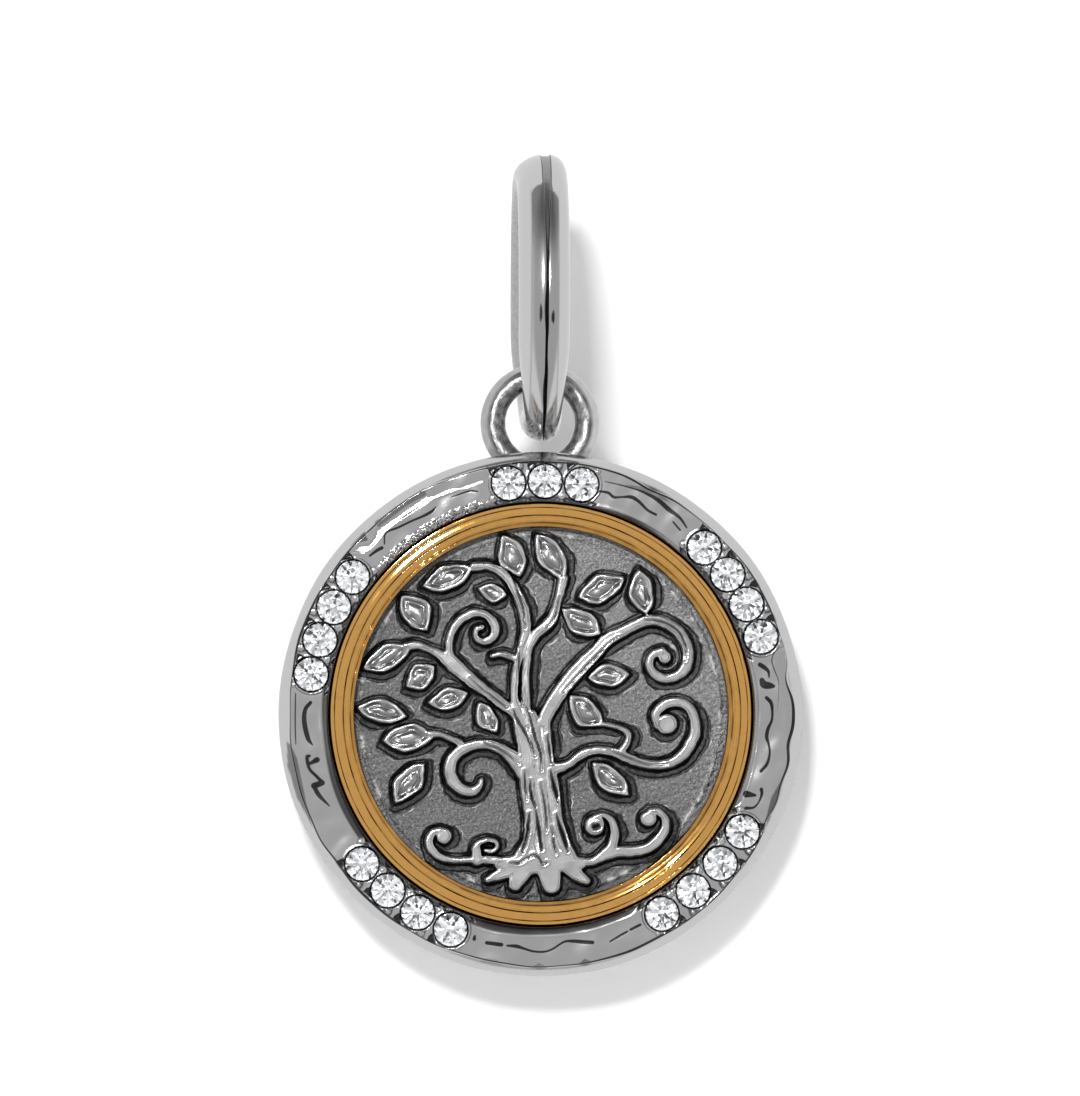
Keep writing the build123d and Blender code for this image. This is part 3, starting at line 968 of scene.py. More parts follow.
@dataclass
class TreeMedallion:
    """The antiqued plate with its raised tree, as one closed height field.

    The lip is a low ridge near the plate's edge. Its place and width are shares of the visible radius.
    """

    disc: DiscPlane
    field_radius: float
    plate_radius: float
    plate_back: float
    plate_face: float
    relief: float = 0.47 * MM
    shoulder: float = 0.1 * MM
    leaf_rim: float = 0.12 * MM
    leaf_hollow: float = 0.17 * MM
    leaf_swell: float = 1.08
    leaf_bow: float = 0.16
    leaf_ruffle: float = 0.07
    glint_length: float = 0.2 * MM
    glint_width: float = 0.09 * MM
    moat_width: float = 0.3 * MM
    moat_depth: float = 0.08 * MM
    core_depth: float = 0.05 * MM
    bank_rise: float = 0.02 * MM
    lip_rise: float = 0.03 * MM
    lip_place: float = 0.965
    lip_width: float = 0.012
    cut_depth: float = 0.09 * MM
    cut_lip: float = 0.018 * MM
    sway: float = 0.022 * MM
    tremble: float = 0.009 * MM
    merge: float = 0.05 * MM
    far: float = 0.6 * MM
    cells: int = 310
    grid_margin: float = 0.1 * MM

    @property
    def percent(self) -> float:
        """One percent of the visible radius."""
        return self.field_radius / 100

    def grid(self) -> Array:
        """A square grid that is drawn out to the edge of a disc.

        Returns:
            Its places, one row each.
        """
        share = np.linspace(-1, 1, self.cells + 1)
        s, t = np.meshgrid(share, share)
        right = s * np.sqrt(1 - t**2 / 2)
        up = t * np.sqrt(1 - s**2 / 2)
        return np.stack([right.ravel(), up.ravel()], axis=1) * (self.field_radius + self.grid_margin)

    def merged(self, first: Array, second: Array) -> Array:
        """Two signed distances as one, with a small fillet where the shapes meet."""
        share = np.clip(0.5 + 0.5 * (second - first) / self.merge, 0, 1)
        return second * (1 - share) + first * share - self.merge * share * (1 - share)

    def limb_edge(self, places: Array) -> Array:
        """How far each place is outside the limbs and roots.

        Args:
            places: The places, one row each.

        Returns:
            One distance for each place, negative on a limb.
        """
        edge = np.full(len(places), self.far)
        for limb in LIMBS.values():
            rows = smooth_line(np.array(limb.points, float)) * self.percent
            line, halves = rows[:, :2], rows[:, 2] / 2
            near = close_by(places, line, halves.max() + self.far)
            edge[near] = self.merged(edge[near], line_distance(places[near], line, halves))
            if limb.eye:
                radius = limb.eye * self.percent
                away = np.hypot(*(places - self.eye_centre(line, radius)).T)
                edge = self.merged(edge, away - radius)
        return edge

    def eye_centre(self, line: Array, radius: float) -> Array:
        """The middle of the round eye on the inner side of a scroll's last turn.

        Args:
            line: The scroll's middle line.
            radius: The eye's radius.

        Returns:
            The middle.
        """
        heading = line[-1] - line[-4]
        heading = heading / np.hypot(*heading)
        normal = np.array([-heading[1], heading[0]])
        if normal @ (line[-9] - line[-1]) < 0:
            normal = -normal
        return line[-1] + normal * radius * 0.85 + heading * radius * 0.2

    def leaf_forms(self, places: Array) -> tuple[Array, Array]:
        """The leaves, and the gleams in their hollows.

        Args:
            places: The places, one row each.

        Returns:
            For each place: how far it is outside the leaves, negative on one, and how bright its gleam is.
        """
        edge, glint = np.full(len(places), self.far), np.zeros(len(places))
        share = np.linspace(-1, 1, 23)
        for number, leaf in enumerate(LEAVES.values()):
            half_length, half_width = leaf.length * self.percent / 2, leaf.width * self.percent / 2
            bow = self.leaf_bow * half_width * np.sin(1.7 * number) * (1 - share**2)
            reach = half_width * self.leaf_swell * (1 - share**2)
            ruffle = 1 + self.leaf_ruffle * np.sin(5 * share + number)
            upper = np.stack([share * half_length, bow + reach * ruffle], axis=1)
            lower = np.stack([share * half_length, bow - reach * (2 - ruffle)], axis=1)
            turn = radians(leaf.turn)
            spin = np.array([[cos(turn), sin(turn)], [-sin(turn), cos(turn)]])
            middle = np.array([leaf.across, leaf.up]) * self.percent
            corners = np.vstack([upper, lower[-2:0:-1]]) @ spin + middle
            near = close_by(places, corners, self.far)
            edge[near] = np.minimum(edge[near], polygon_distance(places[near], corners))
            along, side = ((places[near] - middle) @ spin.T).T
            for sign, size in ((1, 1.0), (-1, 0.7)):
                away = sign * 0.36 * half_length * cos(2.1 * number)
                off = sign * 0.26 * half_width * cos(3.3 * number)
                spot = bell(along - away, self.glint_length * size)
                spot = spot * bell(side - off, self.glint_width * size)
                glint[near] = np.maximum(glint[near], ease(0.4, 0.75, spot))
        return edge, glint

    def cut_edge(self, places: Array) -> Array:
        """How far each place is outside the cuts in the bark.

        Args:
            places: The places, one row each.

        Returns:
            One distance for each place, negative in a cut.
        """
        edge = np.full(len(places), self.far)
        for points in BARK_CUTS:
            rows = smooth_line(np.array(points, float), 5) * self.percent
            near = close_by(places, rows[:, :2], self.far / 2)
            edge[near] = np.minimum(edge[near], line_distance(places[near], rows[:, :2], rows[:, 2] / 2))
        return edge

    def find_shadow_side(self, places: Array, edge: Array) -> Array:
        """Which side of the relief each place is on, for the painted shade on its lower right side.

        Args:
            places: The grid's places.
            edge: How far each is outside the relief's edge.

        Returns:
            1 on the lower right side, 0 on the upper left side.
        """
        n = self.cells + 1
        x, y, e = places[:, 0].reshape(n, n), places[:, 1].reshape(n, n), edge.reshape(n, n)
        (x_i, x_j), (y_i, y_j), (e_i, e_j) = np.gradient(x), np.gradient(y), np.gradient(e)
        area = x_i * y_j - x_j * y_i
        area = np.where(np.abs(area) < 1e-16, 1e-16, area)
        right = (e_i * y_j - e_j * y_i) / area
        up = (x_i * e_j - x_j * e_i) / area
        return np.clip(0.5 + 0.5 * (right * 0.6 - up * 0.8), 0, 1).ravel()

    def shape(self) -> Shape:
        """The relief's heights and masks, on the plate.

        Returns:
            The closed shape.
        """
        places = self.grid()
        slow, quick = (
            np.stack([soft_noise(places, size * MM, seed), soft_noise(places, size * MM, seed + 1)], axis=1)
            for size, seed in ((1.5, 3), (0.5, 8))
        )
        drawn = places + self.sway * slow + self.tremble * quick
        limb, cut = self.limb_edge(drawn), self.cut_edge(drawn)
        leaf, glint = self.leaf_forms(drawn)
        edge = np.minimum(limb, leaf)
        on_leaf = leaf < limb
        inside = edge < 0
        depth = np.maximum(-edge, 0)
        wall = np.sqrt(1 - (1 - np.clip(depth / self.shoulder, 0, 1)) ** 2)
        waves = soft_noise(places, 1.1 * MM, 5)
        rim = self.leaf_rim * (1 + 0.45 * soft_noise(places, 0.9 * MM, 6))
        hollow = ease(0, 0.2 * MM, depth - rim)
        middle = ease(self.leaf_rim + 0.16 * MM, 0.5 * MM, depth)
        leaf_top = 0.94 - (self.leaf_hollow / self.relief) * hollow * (1 - 0.6 * middle)
        leaf_top = leaf_top + 0.03 * waves * hollow + 0.07 * glint * on_leaf
        raised = self.relief * wall * np.where(on_leaf, leaf_top, 1 + 0.006 * waves)
        groove = fade(-0.02 * MM, 0.03 * MM, cut)
        beside_cut = bell(cut - 0.06 * MM, 0.035 * MM)
        raised = raised - inside * (self.cut_depth * groove - self.cut_lip * beside_cut) * wall
        radius = np.hypot(*places.T)
        lip = bell(radius - self.lip_place * self.field_radius, self.lip_width * self.field_radius)
        # The shadow side: the moats are wider there, and the material paints shade there.
        shadow_side = self.find_shadow_side(places, edge)
        away = edge / (0.36 + 0.64 * ease(0.25, 0.8, shadow_side))
        moat = fade(self.moat_width - 0.03 * MM, self.moat_width + 0.05 * MM, away)
        core = fade(0.04 * MM, 0.16 * MM, edge)
        bank = bell(away - self.moat_width - 0.07 * MM, 0.04 * MM) * ease(0.4, 0.7, shadow_side)
        uneven = 0.01 * MM * soft_noise(places, 1.6 * MM, 1) + 0.006 * MM * soft_noise(places, 0.3 * MM, 2)
        floor = uneven - self.moat_depth * moat - self.core_depth * core
        floor = floor + self.bank_rise * bank + self.lip_rise * lip
        out = self.plate_face + np.where(inside, np.maximum(raised, -0.1 * MM), floor)
        masks = {
            "edge": edge / MM,
            "relief": np.clip(raised / self.relief, 0, 1),
            "leaf": on_leaf.astype(float),
            "cut": np.where(inside & ~on_leaf, cut, self.far) / MM,
            "glint": glint * on_leaf,
            "pale": ease(-1 * MM, 6.5 * MM, places.sum(axis=1) * 0.7),
            "shadow_side": shadow_side,
            "lip": lip * (edge > self.moat_width),
        }
        return self.closed(places, out, masks)

    def closed(self, places: Array, out: Array, masks: dict[str, Array]) -> Shape:
        """The height field with the plate's side and back.

        Args:
            places: The grid's places.
            out: How far out each one is.
            masks: Its masks.

        Returns:
            The closed shape.
        """
        n = self.cells + 1
        index = np.arange(n * n).reshape(n, n)
        rim_loop = np.concatenate([index[0, :-1], index[:-1, -1], index[-1, :0:-1], index[:0:-1, 0]])
        turn = np.arctan2(places[rim_loop, 1], places[rim_loop, 0])
        count = len(rim_loop)
        edge = circle(self.plate_radius, turn).T
        points = [
            self.disc.place(*places.T, out),
            self.disc.place(*edge, np.full(count, self.plate_face)),
            self.disc.place(*edge, np.full(count, self.plate_back)),
            self.disc.place(np.zeros(1), np.zeros(1), np.full(1, self.plate_back)),
        ]
        faces = grid_quads(n, n).tolist()
        front = np.arange(count) + n * n
        back = front + count
        for first, second in ((rim_loop, front), (front, back)):
            faces += np.stack([first, second, np.roll(second, -1), np.roll(first, -1)], axis=1).tolist()
        faces += fan(back, n * n + 2 * count).tolist()
        rest = np.zeros(2 * count + 1)
        masks = {name: np.concatenate([values, rest]) for name, values in masks.items()}
        return Shape(np.vstack(points), faces, masks)


@dataclass(frozen=True)
class StoneRow:
    """A group of stones on the rim.

    It gives the angle of the group's middle and what each step has in addition, in degrees, and the
    side on which each seat has its pointed cut.
    """

    count: int
    middle: float
    extra: float
    horn_side: int


@dataclass(frozen=True)
class StonePlace:
    """Where a stone sits, right and up of the disc's centre.

    It gives the side of its seat's pointed cut, and the side on which its group ends there, or 0.
    """

    right: float
    up: float
    angle: float
    horn_side: int
    end: int


@dataclass(frozen=True)
class Facet:
    """A flat cut by the hammer: corners as angle and radius in picture dots.

    It falls outwards from the hinge radius by the tilt in degrees, or inwards if that is negative. Its tone
    is a painted dark reflection, and a negative tone takes painted shade away. One that isn't tilted only has
    its painted tone.
    """

    corners: tuple
    hinge: float
    tilt: float
    tone: float


STONE_ROWS = (
    StoneRow(4, 32.5, 0, 1),
    StoneRow(3, 89, 0.3, 1),
    StoneRow(4, 157, 0, -1),
    StoneRow(4, 233.5, 0.4, -1),
    StoneRow(4, 315.5, 0.8, 1),
)

# Dark strokes cut into the face. Each point gives its angle in degrees, radius and width in picture dots.
STROKES = (
    ((12.8, 224, 3.2), (11.6, 228.5, 3), (10.6, 230.8, 2), (9.2, 230.6, 1)),
    ((6.9, 233.8, 2.4), (7.2, 229.5, 4.6), (7.6, 224.5, 5.2), (8.8, 223, 3.4)),
    ((4.2, 225.6, 2.6), (2.85, 229.8, 2.6), (0.7, 230.8, 1.8), (-1.5, 230.2, 1.8), (-3.65, 226.9, 2.4),
     (-5.8, 226.3, 2.6), (-7.4, 229.1, 1.8), (-9.6, 231.4, 1.6), (-12.3, 230.9, 2.2), (-14.5, 226.8, 2.4)),
    ((-18.8, 232.2, 2.6), (-19.9, 234.2, 2), (-22, 234.2, 1.3), (-23.7, 231.3, 1.6), (-24.6, 224.7, 2.4)),
    ((-20.7, 228.5, 1.8), (-21.2, 219.8, 5)),
    ((74.7, 240.9, 0.8), (70.1, 242.4, 1), (65.8, 244, 1.6), (61.5, 243.6, 3), (58, 240.8, 3.2),
     (54.8, 240, 2), (52.05, 236.2, 1.2)),
    ((55.6, 232.9, 1.2), (52.9, 230.2, 1.4)),
    ((75.3, 230.2, 1.4), (73.1, 230.9, 2), (71.5, 228.4, 2), (69.6, 231.3, 1.4), (67.4, 234.7, 2.6),
     (65.3, 233.6, 2.2), (62.5, 229.8, 1.8), (60.1, 229.8, 1.8)),
    ((112.3, 234.2, 1), (108, 234, 1.4), (105.9, 231.2, 1.2)),
    ((132.6, 230.7, 1), (131.2, 236.9, 1.2), (129.9, 238, 1.4), (127.4, 234.7, 1.6), (124.2, 232.4, 1.6),
     (121, 230.2, 1.8), (118.5, 229.8, 2.2), (116.9, 231.8, 1)),
    ((137.2, 232.9, 1.6), (135, 231.3, 2.4), (133.7, 229.8, 2.4)),
    ((186.9, 246.4, 0.8), (181.8, 245.3, 1), (175, 245.8, 0.8)),
    ((187.6, 229.8, 1), (185.8, 233.6, 3.2), (181.8, 236.2, 3.4), (178.8, 235.1, 3), (177, 230.2, 2.4)),
    ((203.4, 229.8, 0.8), (200.1, 235.4, 3), (197.6, 237.5, 3)),
    ((197.4, 237.2, 4.4), (197.3, 228.8, 4)),
    ((197, 228.6, 2.4), (195.3, 232.4, 2.2), (193.1, 237.3, 2.2), (190.4, 237.3, 2.6), (190.1, 234.5, 2)),
    ((192, 236, 2), (191.4, 228, 4)),
    ((253.4, 233.6, 2.6), (253.3, 230.4, 1.6)),
    ((260.2, 232.9, 2.8), (256.6, 234, 2.6)),
    ((282.7, 233.1, 2.6), (280.4, 230.7, 2.8), (278.2, 228.4, 2.4), (276.1, 227.6, 1.6), (274.5, 230.2, 1.4),
     (272.8, 234.2, 1.5), (270.7, 236.7, 1.5), (268, 236.2, 1.5), (265.8, 234, 1.8), (263.9, 232.4, 2.6),
     (261.6, 232.9, 1.4)),
    ((295.3, 231.8, 1.8), (292.6, 232.4, 1.8)),
    ((291.7, 232.9, 1.4), (289.6, 234.2, 1.6), (286.9, 236.7, 1.2)),
    ((15.5, 246, 0.6), (14.7, 240.4, 0.7), (13.1, 236.4, 0.9), (10.9, 236.9, 0.8), (8.2, 239.1, 0.6),
     (5, 238, 0.5), (1.2, 235.8, 0.3)),
)

# Each facet's tone paints a dark reflection on the face and the bevel.
FACETS = (
    Facet(((206.5, 254), (200, 249.5), (196, 247.6), (190, 247.2), (187, 251), (186, 255), (191.5, 258),
        (199, 257)), 247, 0, 0.64),
    Facet(((-12, 250.5), (-16, 247.5), (-19.9, 244), (-24, 246.5), (-27, 251), (-19, 252)), 244, 0, 0.68),
    Facet(((138.5, 253.6), (134, 253.6), (134.8, 244.7), (136.6, 249)), 254, 0, 0.8),
    Facet(((139.3, 249.5), (137.2, 247.2), (135.3, 241), (133.3, 242), (131.5, 246.2), (118, 246.5), (115.5,
        242), (104, 242), (104, 239.5), (113, 238.4), (117, 239.6), (121, 240), (128, 240.3), (131, 239.4),
        (135, 237.6), (138, 240.5)), 238, 9.5, -0.3),
    Facet(((131, 254), (117.3, 254), (117.5, 247), (123, 247.5), (131, 247)), 254, 0, 0.62),
    Facet(((70, 244.2), (63.6, 252.6), (58.5, 247.5), (62, 244.8)), 244, 0, 0.55),
    Facet(((14.5, 250), (14, 241), (10, 238), (5, 240), (-2, 246), (-9, 249), (-12, 251), (0, 253.5), (10,
        253)), 241, 8, -0.15),
    Facet(((282, 252.6), (280.1, 255), (278.2, 252.6), (280.1, 247)), 247, 0, 0.6),
    Facet(((271.7, 253), (269.5, 254.6), (267.5, 252.6), (269.5, 247.5)), 247.5, 0, 0.45),
    Facet(((261.5, 253), (256, 253.6), (257.5, 248.5), (260, 248.5)), 248, 0, 0.3),
)

# Where the face's outer edge dips inwards: angle in degrees, depth in picture dots, spread in degrees
EDGE_DIPS = (
    (8, 5, 3.5), (-7, 3.6, 3), (-16, 1.5, 3), (-25, 3, 2.5), (64, 2, 4), (180, 1, 5), (210, -1.5, 4),
    (122, -1, 8),
)


@dataclass
class HammeredFrame:
    """The hammered rim with its stone seats, its plain back and the loop on its top.

    The roll is where the face turns down to the gold ring, and its turns say at which angle it is widest and
    darkest; its dark is painted shade and painted dark reflection. The grains set in and fade out over the
    angles given. The pointed cut beside a seat is given by its corners in millimetres, away from the stone
    and outwards, and a notch bounds the seat at each end of a group. The dark in the seats' channel, cuts and
    gaps and the black lines round the stones are painted shade.
    """

    disc: DiscPlane
    dot: float
    radius: float
    face: float
    back: float
    cup_radius: float
    cup_floor: float
    loop_z: float
    loop_outer_radius: float
    stones: list[StonePlace]
    stone_radius: float
    loop_wire: float = 1.06 * MM
    loop_columns: int = 96
    loop_rows: int = 48
    bevel_width: float = 0.42 * MM
    bevel_drop: float = 0.5 * MM
    bevel_start: float = 0.07 * MM
    face_rows: int = 44
    fine_step: float = 0.22
    fine_reach: float = 5.8
    coarse_step: float = 0.28
    wobble: float = 0.035 * MM
    stroke_half_width: float = 0.72
    stroke_depth: float = 0.004 * MM
    roll_dots: float = 218.6
    roll_sway: float = 2.2
    roll_turn: float = 236
    dark_turn: float = 225
    dark_spot: Pair = (66, 11)
    grains_start: Pair = (103, 108)
    grains_end: Pair = (134, 139)
    seat_wall: float = 0.755 * MM
    seat_slope: float = 41
    chamfer_drop: float = 0.2 * MM
    cut_floor: float = 0.16 * MM
    horn_depth: float = 0.1 * MM
    horn: tuple = ((0.79, 0.86), (0.74, 0.76), (0.32, 0.78), (0.44, 0.66), (0.66, 0.4), (0.76, 0.6))
    prong_radius: float = 0.15 * MM
    notch_radius: float = 0.86 * MM
    notch_arc: Pair = (-62, 70)
    notch_widths: Pair = (0.026, 0.008)
    far: float = 0.3 * MM

    def angles(self) -> Array:
        """The angles of the mesh's columns in degrees, close together along the stones.

        Returns:
            The angles.
        """
        edges = []
        angle = 0.0
        stone_angles = np.array([stone.angle for stone in self.stones])
        while angle < 360 - self.coarse_step / 2:
            edges.append(angle)
            gap = np.abs(turn_from(stone_angles, angle)).min()
            angle += self.fine_step if gap < self.fine_reach else self.coarse_step
        return np.array(edges)

    def edge_radius(self, angle: Array) -> Array:
        """The radius of the face's uneven outer edge.

        Args:
            angle: Angles in degrees.

        Returns:
            The radius at each angle.
        """
        turn = np.radians(angle)
        wave = 0.55 * np.sin(5 * turn + 0.4) + 0.5 * np.sin(9 * turn + 2.1) + 0.4 * np.sin(17 * turn + 4.0)
        wave += 0.25 * np.sin(31 * turn + 1.0)
        dips = sum(dots * bell(turn_from(angle, at), spread) for at, dots, spread in EDGE_DIPS)
        return self.radius - self.bevel_width + self.wobble * (wave - 0.6) - dips * self.dot

    def rim_radius(self, angle: Array) -> Array:
        """The radius of the outer edge, no more than the solid's.

        Args:
            angle: Angles in degrees.

        Returns:
            The radius at each angle.
        """
        turn = np.radians(angle)
        wave = np.sin(4 * turn + 1.0) + 0.8 * np.sin(7 * turn + 3.0) + 0.5 * np.sin(13 * turn)
        return self.radius - self.wobble * 0.5 * (2.3 - wave)

    def facet_cover(self, places: Array, facet: Facet) -> Array:
        """1 where a facet covers the places, 0 where it doesn't."""
        corners = np.array([polar(radius * self.dot, angle) for angle, radius in facet.corners])
        return fade(-0.03 * MM, 0.02 * MM, polygon_distance(places, corners))

    def face_form(self, places: Array) -> dict[str, Array]:
        """How the hammering, the strokes and the seats shape the rim's face.

        Args:
            places: Places on the face, one row each.

        Returns:
            For each place: the height above the face, the dark tone, which is painted shade and painted dark
                reflection, the roughness, and how far it is outside the black lines.
        """
        height = 0.02 * MM * soft_noise(places, 3.2 * MM, 11) + 0.008 * MM * soft_noise(places, 1.3 * MM, 12)
        shade = np.zeros(len(places))
        ink = np.full(len(places), self.far)
        radius = np.hypot(*places.T)
        for facet in FACETS:
            inside = self.facet_cover(places, facet)
            fall = -(radius - facet.hinge * self.dot) * tan(radians(facet.tilt))
            if facet.tilt:
                height = height * (1 - inside) + fall * inside
            # The facet's tone: a painted dark reflection.
            shade += facet.tone * inside
        for points in STROKES:
            half = self.dot * self.stroke_half_width
            rows = np.array([(*polar(r * self.dot, a), w * half) for a, r, w in points])
            rows = smooth_line(rows, 6)
            near = close_by(places, rows[:, :2], self.far)
            outside = line_distance(places[near], rows[:, :2], rows[:, 2])
            height[near] -= self.stroke_depth * fade(-0.03 * MM, 0.015 * MM, outside)
            ink[near] = np.minimum(ink[near], outside)
        self.inner_edge(places, height, shade)
        rough = self.seats(places, height, shade, ink)
        return {"height": height, "shade": np.clip(shade, -1, 1), "rough": rough, "ink": ink}

    def facet_tone(self, places: Array) -> Array:
        """How dark the untilted facets' painted dark reflections make the bevel."""
        tones = [facet.tone * self.facet_cover(places, facet) for facet in FACETS if not facet.tilt]
        return np.max([np.zeros(len(places)), *tones], axis=0)

    def inner_edge(self, places: Array, height: Array, shade: Array) -> None:
        """Lets the face roll off towards the gold ring, along a wavy line, with a grainy stretch, and paints
        shade and dark reflections on the roll.

        Args:
            places: Places on the face, one row each.
            height: Their heights, which are changed.
            shade: Their dark tones, which are changed.
        """
        radius = np.hypot(*places.T)
        angle = np.arctan2(places[:, 1], places[:, 0])
        top = self.roll_dots + self.roll_sway * np.cos(angle - radians(self.roll_turn))
        top = top + 0.7 * np.sin(7 * angle + 1) + 0.5 * np.sin(13 * angle)
        share = np.clip((top * self.dot - radius) / (top * self.dot - self.cup_radius), 0, 1)
        rolled = self.chamfer_drop * (1 - np.sqrt(1 - np.clip(share, 0, 0.98) ** 2)) * 0.5 + 0.1 * MM * share
        height -= rolled
        # Painted shade and dark reflection on the roll: darkest towards the lower left and at one spot, and
        # near black beside the ring.
        lower = 0.5 + 0.5 * np.cos(angle - radians(self.dark_turn))
        spot = bell(angle - radians(self.dark_spot[0]), radians(self.dark_spot[1]))
        shade += ease(0.03, 0.2, share) * (0.26 + 0.6 * lower + 0.6 * spot)
        shade += ease(0.66, 0.84, share) * 0.6
        height += 0.01 * MM * bell(radius - (top + 1.0) * self.dot, 0.9 * self.dot)
        sandy = fade(220.4 * self.dot, 222 * self.dot, radius)
        around = np.degrees(angle)
        granular = ease(*self.grains_start, around) * fade(*self.grains_end, around)
        grains = soft_noise(places, 0.16 * MM, 21) * soft_noise(places, 0.1 * MM, 22)
        height += granular * sandy * 0.07 * MM * np.clip(grains * 2.5, -1, 1)
        shade += granular * sandy * np.clip(-grains * 5, -0.9, 1)

    def seats(self, places: Array, height: Array, shade: Array, ink: Array) -> Array:
        """Adds the seats, and the cuts and grains round each stone, with painted shade in the channel, the
        cuts and gaps, round the beads and as black lines round the stones.

        Args:
            places: Places on the face, one row each.
            height: Their heights, which are changed.
            shade: Their dark tones, which are changed.
            ink: How far they are outside the black lines, which is changed.

        Returns:
            The roughness at each place.
        """
        radius = np.hypot(*places.T)
        draw = np.random.default_rng(SEED)
        slope = tan(radians(self.seat_slope))
        nearest = np.full(len(places), 9.0)
        for stone in self.stones:
            nearest = np.minimum(nearest, np.hypot(*(places - np.array([stone.right, stone.up])).T))
        channel = fade(217.2 * self.dot, 218.4 * self.dot, radius) * fade(0.98 * MM, 1.08 * MM, nearest)
        height[:] = height * ease(0.85 * MM, 1.5 * MM, nearest) * (1 - channel) - self.cut_floor * channel
        # Painted shade in the channel below the stones.
        shade += (0.9 - shade) * channel
        wedge = np.array(self.horn)
        for stone in self.stones:
            centre = np.array([stone.right, stone.up])
            outward = centre / np.hypot(*centre)
            left = np.array([-outward[1], outward[0]])
            near = close_by(places, centre[None, :], 1.6 * MM)
            spots = places[near] - centre
            local = np.stack([spots @ (left * stone.horn_side), spots @ outward], axis=1)
            stretch = draw.uniform(0.9, 1.12)
            horn_cut = polygon_distance(local, wedge * np.array([1, stretch]) * MM)
            bead = np.hypot(*(local - np.array([-0.58, 0.66]) * MM).T) / (draw.uniform(0.08, 0.12) * MM)
            prong = np.hypot(*(local - np.array([0.74, -0.56 * stretch]) * MM).T) / self.prong_radius
            form, tone, line = height[near], shade[near], ink[near]
            form = form - self.horn_depth * fade(-0.03 * MM, 0.02 * MM, horn_cut)
            if stone.end != -stone.horn_side:
                # Painted shade in the gap towards the next stone.
                gap_cut = polygon_distance(local * np.array([-1, 1]), wedge * MM)
                tone = np.maximum(tone, 0.78 * fade(-0.02 * MM, 0.015 * MM, gap_cut))
            # The pointed cut is drawn black: painted shade.
            line = np.minimum(line, horn_cut)
            # Beads and prongs are light, with a ring of painted shade round each.
            for grain, top in ((bead, 0.05 * MM), (prong, 0.03 * MM)):
                dome = top * np.sqrt(np.clip(1 - grain**2, 0, 1)) - 0.05 * MM * grain
                form = np.where(grain < 1, np.maximum(form, dome), form)
                tone = np.where(grain < 1, -0.25, np.where(grain < 1.3, np.maximum(tone, 0.6), tone))
            if stone.end:
                arc = np.radians(np.linspace(*self.notch_arc, 12))
                bow = np.outer(np.cos(arc), left * stone.end) + np.outer(np.sin(arc), outward)
                widths = np.linspace(*self.notch_widths, 12) * MM
                notch = line_distance(places[near], centre + self.notch_radius * bow, widths)
                # The notch is drawn as a black line: painted shade.
                line = np.minimum(line, notch)
                form = form - 0.006 * MM * fade(-0.02 * MM, 0.03 * MM, notch)
            distance = np.hypot(*spots.T)
            form = form + 0.02 * MM * bell(distance - self.seat_wall - 0.05 * MM, 0.04 * MM)
            bowl = -0.16 * MM - (SEAT_RADIUS - distance) * slope
            in_seat = distance < self.seat_wall
            height[near] = np.where(in_seat, np.minimum(form, np.minimum(bowl, -0.3 * MM)), form)
            # A black line round each stone: painted shade in the gap of its seat.
            ring = np.abs(distance - 0.5 * (self.stone_radius + self.seat_wall)) - 0.036 * MM
            ink[near] = np.minimum(line, ring)
            shade[near] = np.where(distance < 0.68 * MM, 0.0, tone)
        return np.clip(fade(self.cup_radius + 0.05 * MM, self.cup_radius + 0.3 * MM, radius), 0, 1)

    def disc_shape(self) -> Shape:
        """The rim, its cup and its back as one closed shape.

        Returns:
            The shape, in rows from the back's middle round the edge and over the face to the cup's.
        """
        angle = self.angles()
        turn = np.radians(angle)
        outer, edge = self.rim_radius(angle), self.edge_radius(angle)
        one = np.ones(len(angle))
        zero, away = 0 * one, self.far * one
        line_half = self.dot * (0.8 + 0.3 * np.sin(5 * turn + 1) + 0.25 * np.sin(11 * turn + 2))
        line_half -= 0.9 * self.dot * bell(turn_from(angle, 14), 7)
        line_half += 0.6 * self.dot * bell(turn_from(angle, -11), 15)
        rows = []
        for share in (0.2, 0.5, 0.8, 0.94):
            rows.append((self.radius * share * one, self.back * one, zero, zero, away))
        for inset, rise in ((0.35, 0.0), (0.12, 0.1), (0.0, 0.34)):
            rows.append((outer - inset * MM, (self.back + rise * MM) * one, zero, zero, away))
        rows.append((outer, (self.back + self.face) / 2 * one, zero, zero, away))
        for share in np.linspace(0, 1, 8):
            bend = (1 - share) ** 2 * 0.5 + 0.5 * (1 - share)
            drop = self.bevel_start + (self.bevel_drop - self.bevel_start) * bend
            radius = outer + (edge + 0.03 * MM - outer) * share
            tone = self.facet_tone(circle(radius, turn)) if share else zero
            rows.append((radius, self.face - drop, zero, tone, radius - edge - line_half))
        for i in range(self.face_rows):
            share = i / (self.face_rows - 1)
            radius = edge + (self.cup_radius + 0.02 * MM - edge) * share
            form = self.face_form(circle(radius, turn))
            ink = np.minimum(form["ink"], edge - radius - line_half)
            rows.append((radius, self.face + form["height"], form["rough"], form["shade"], ink))
        below = rows[-1][1]
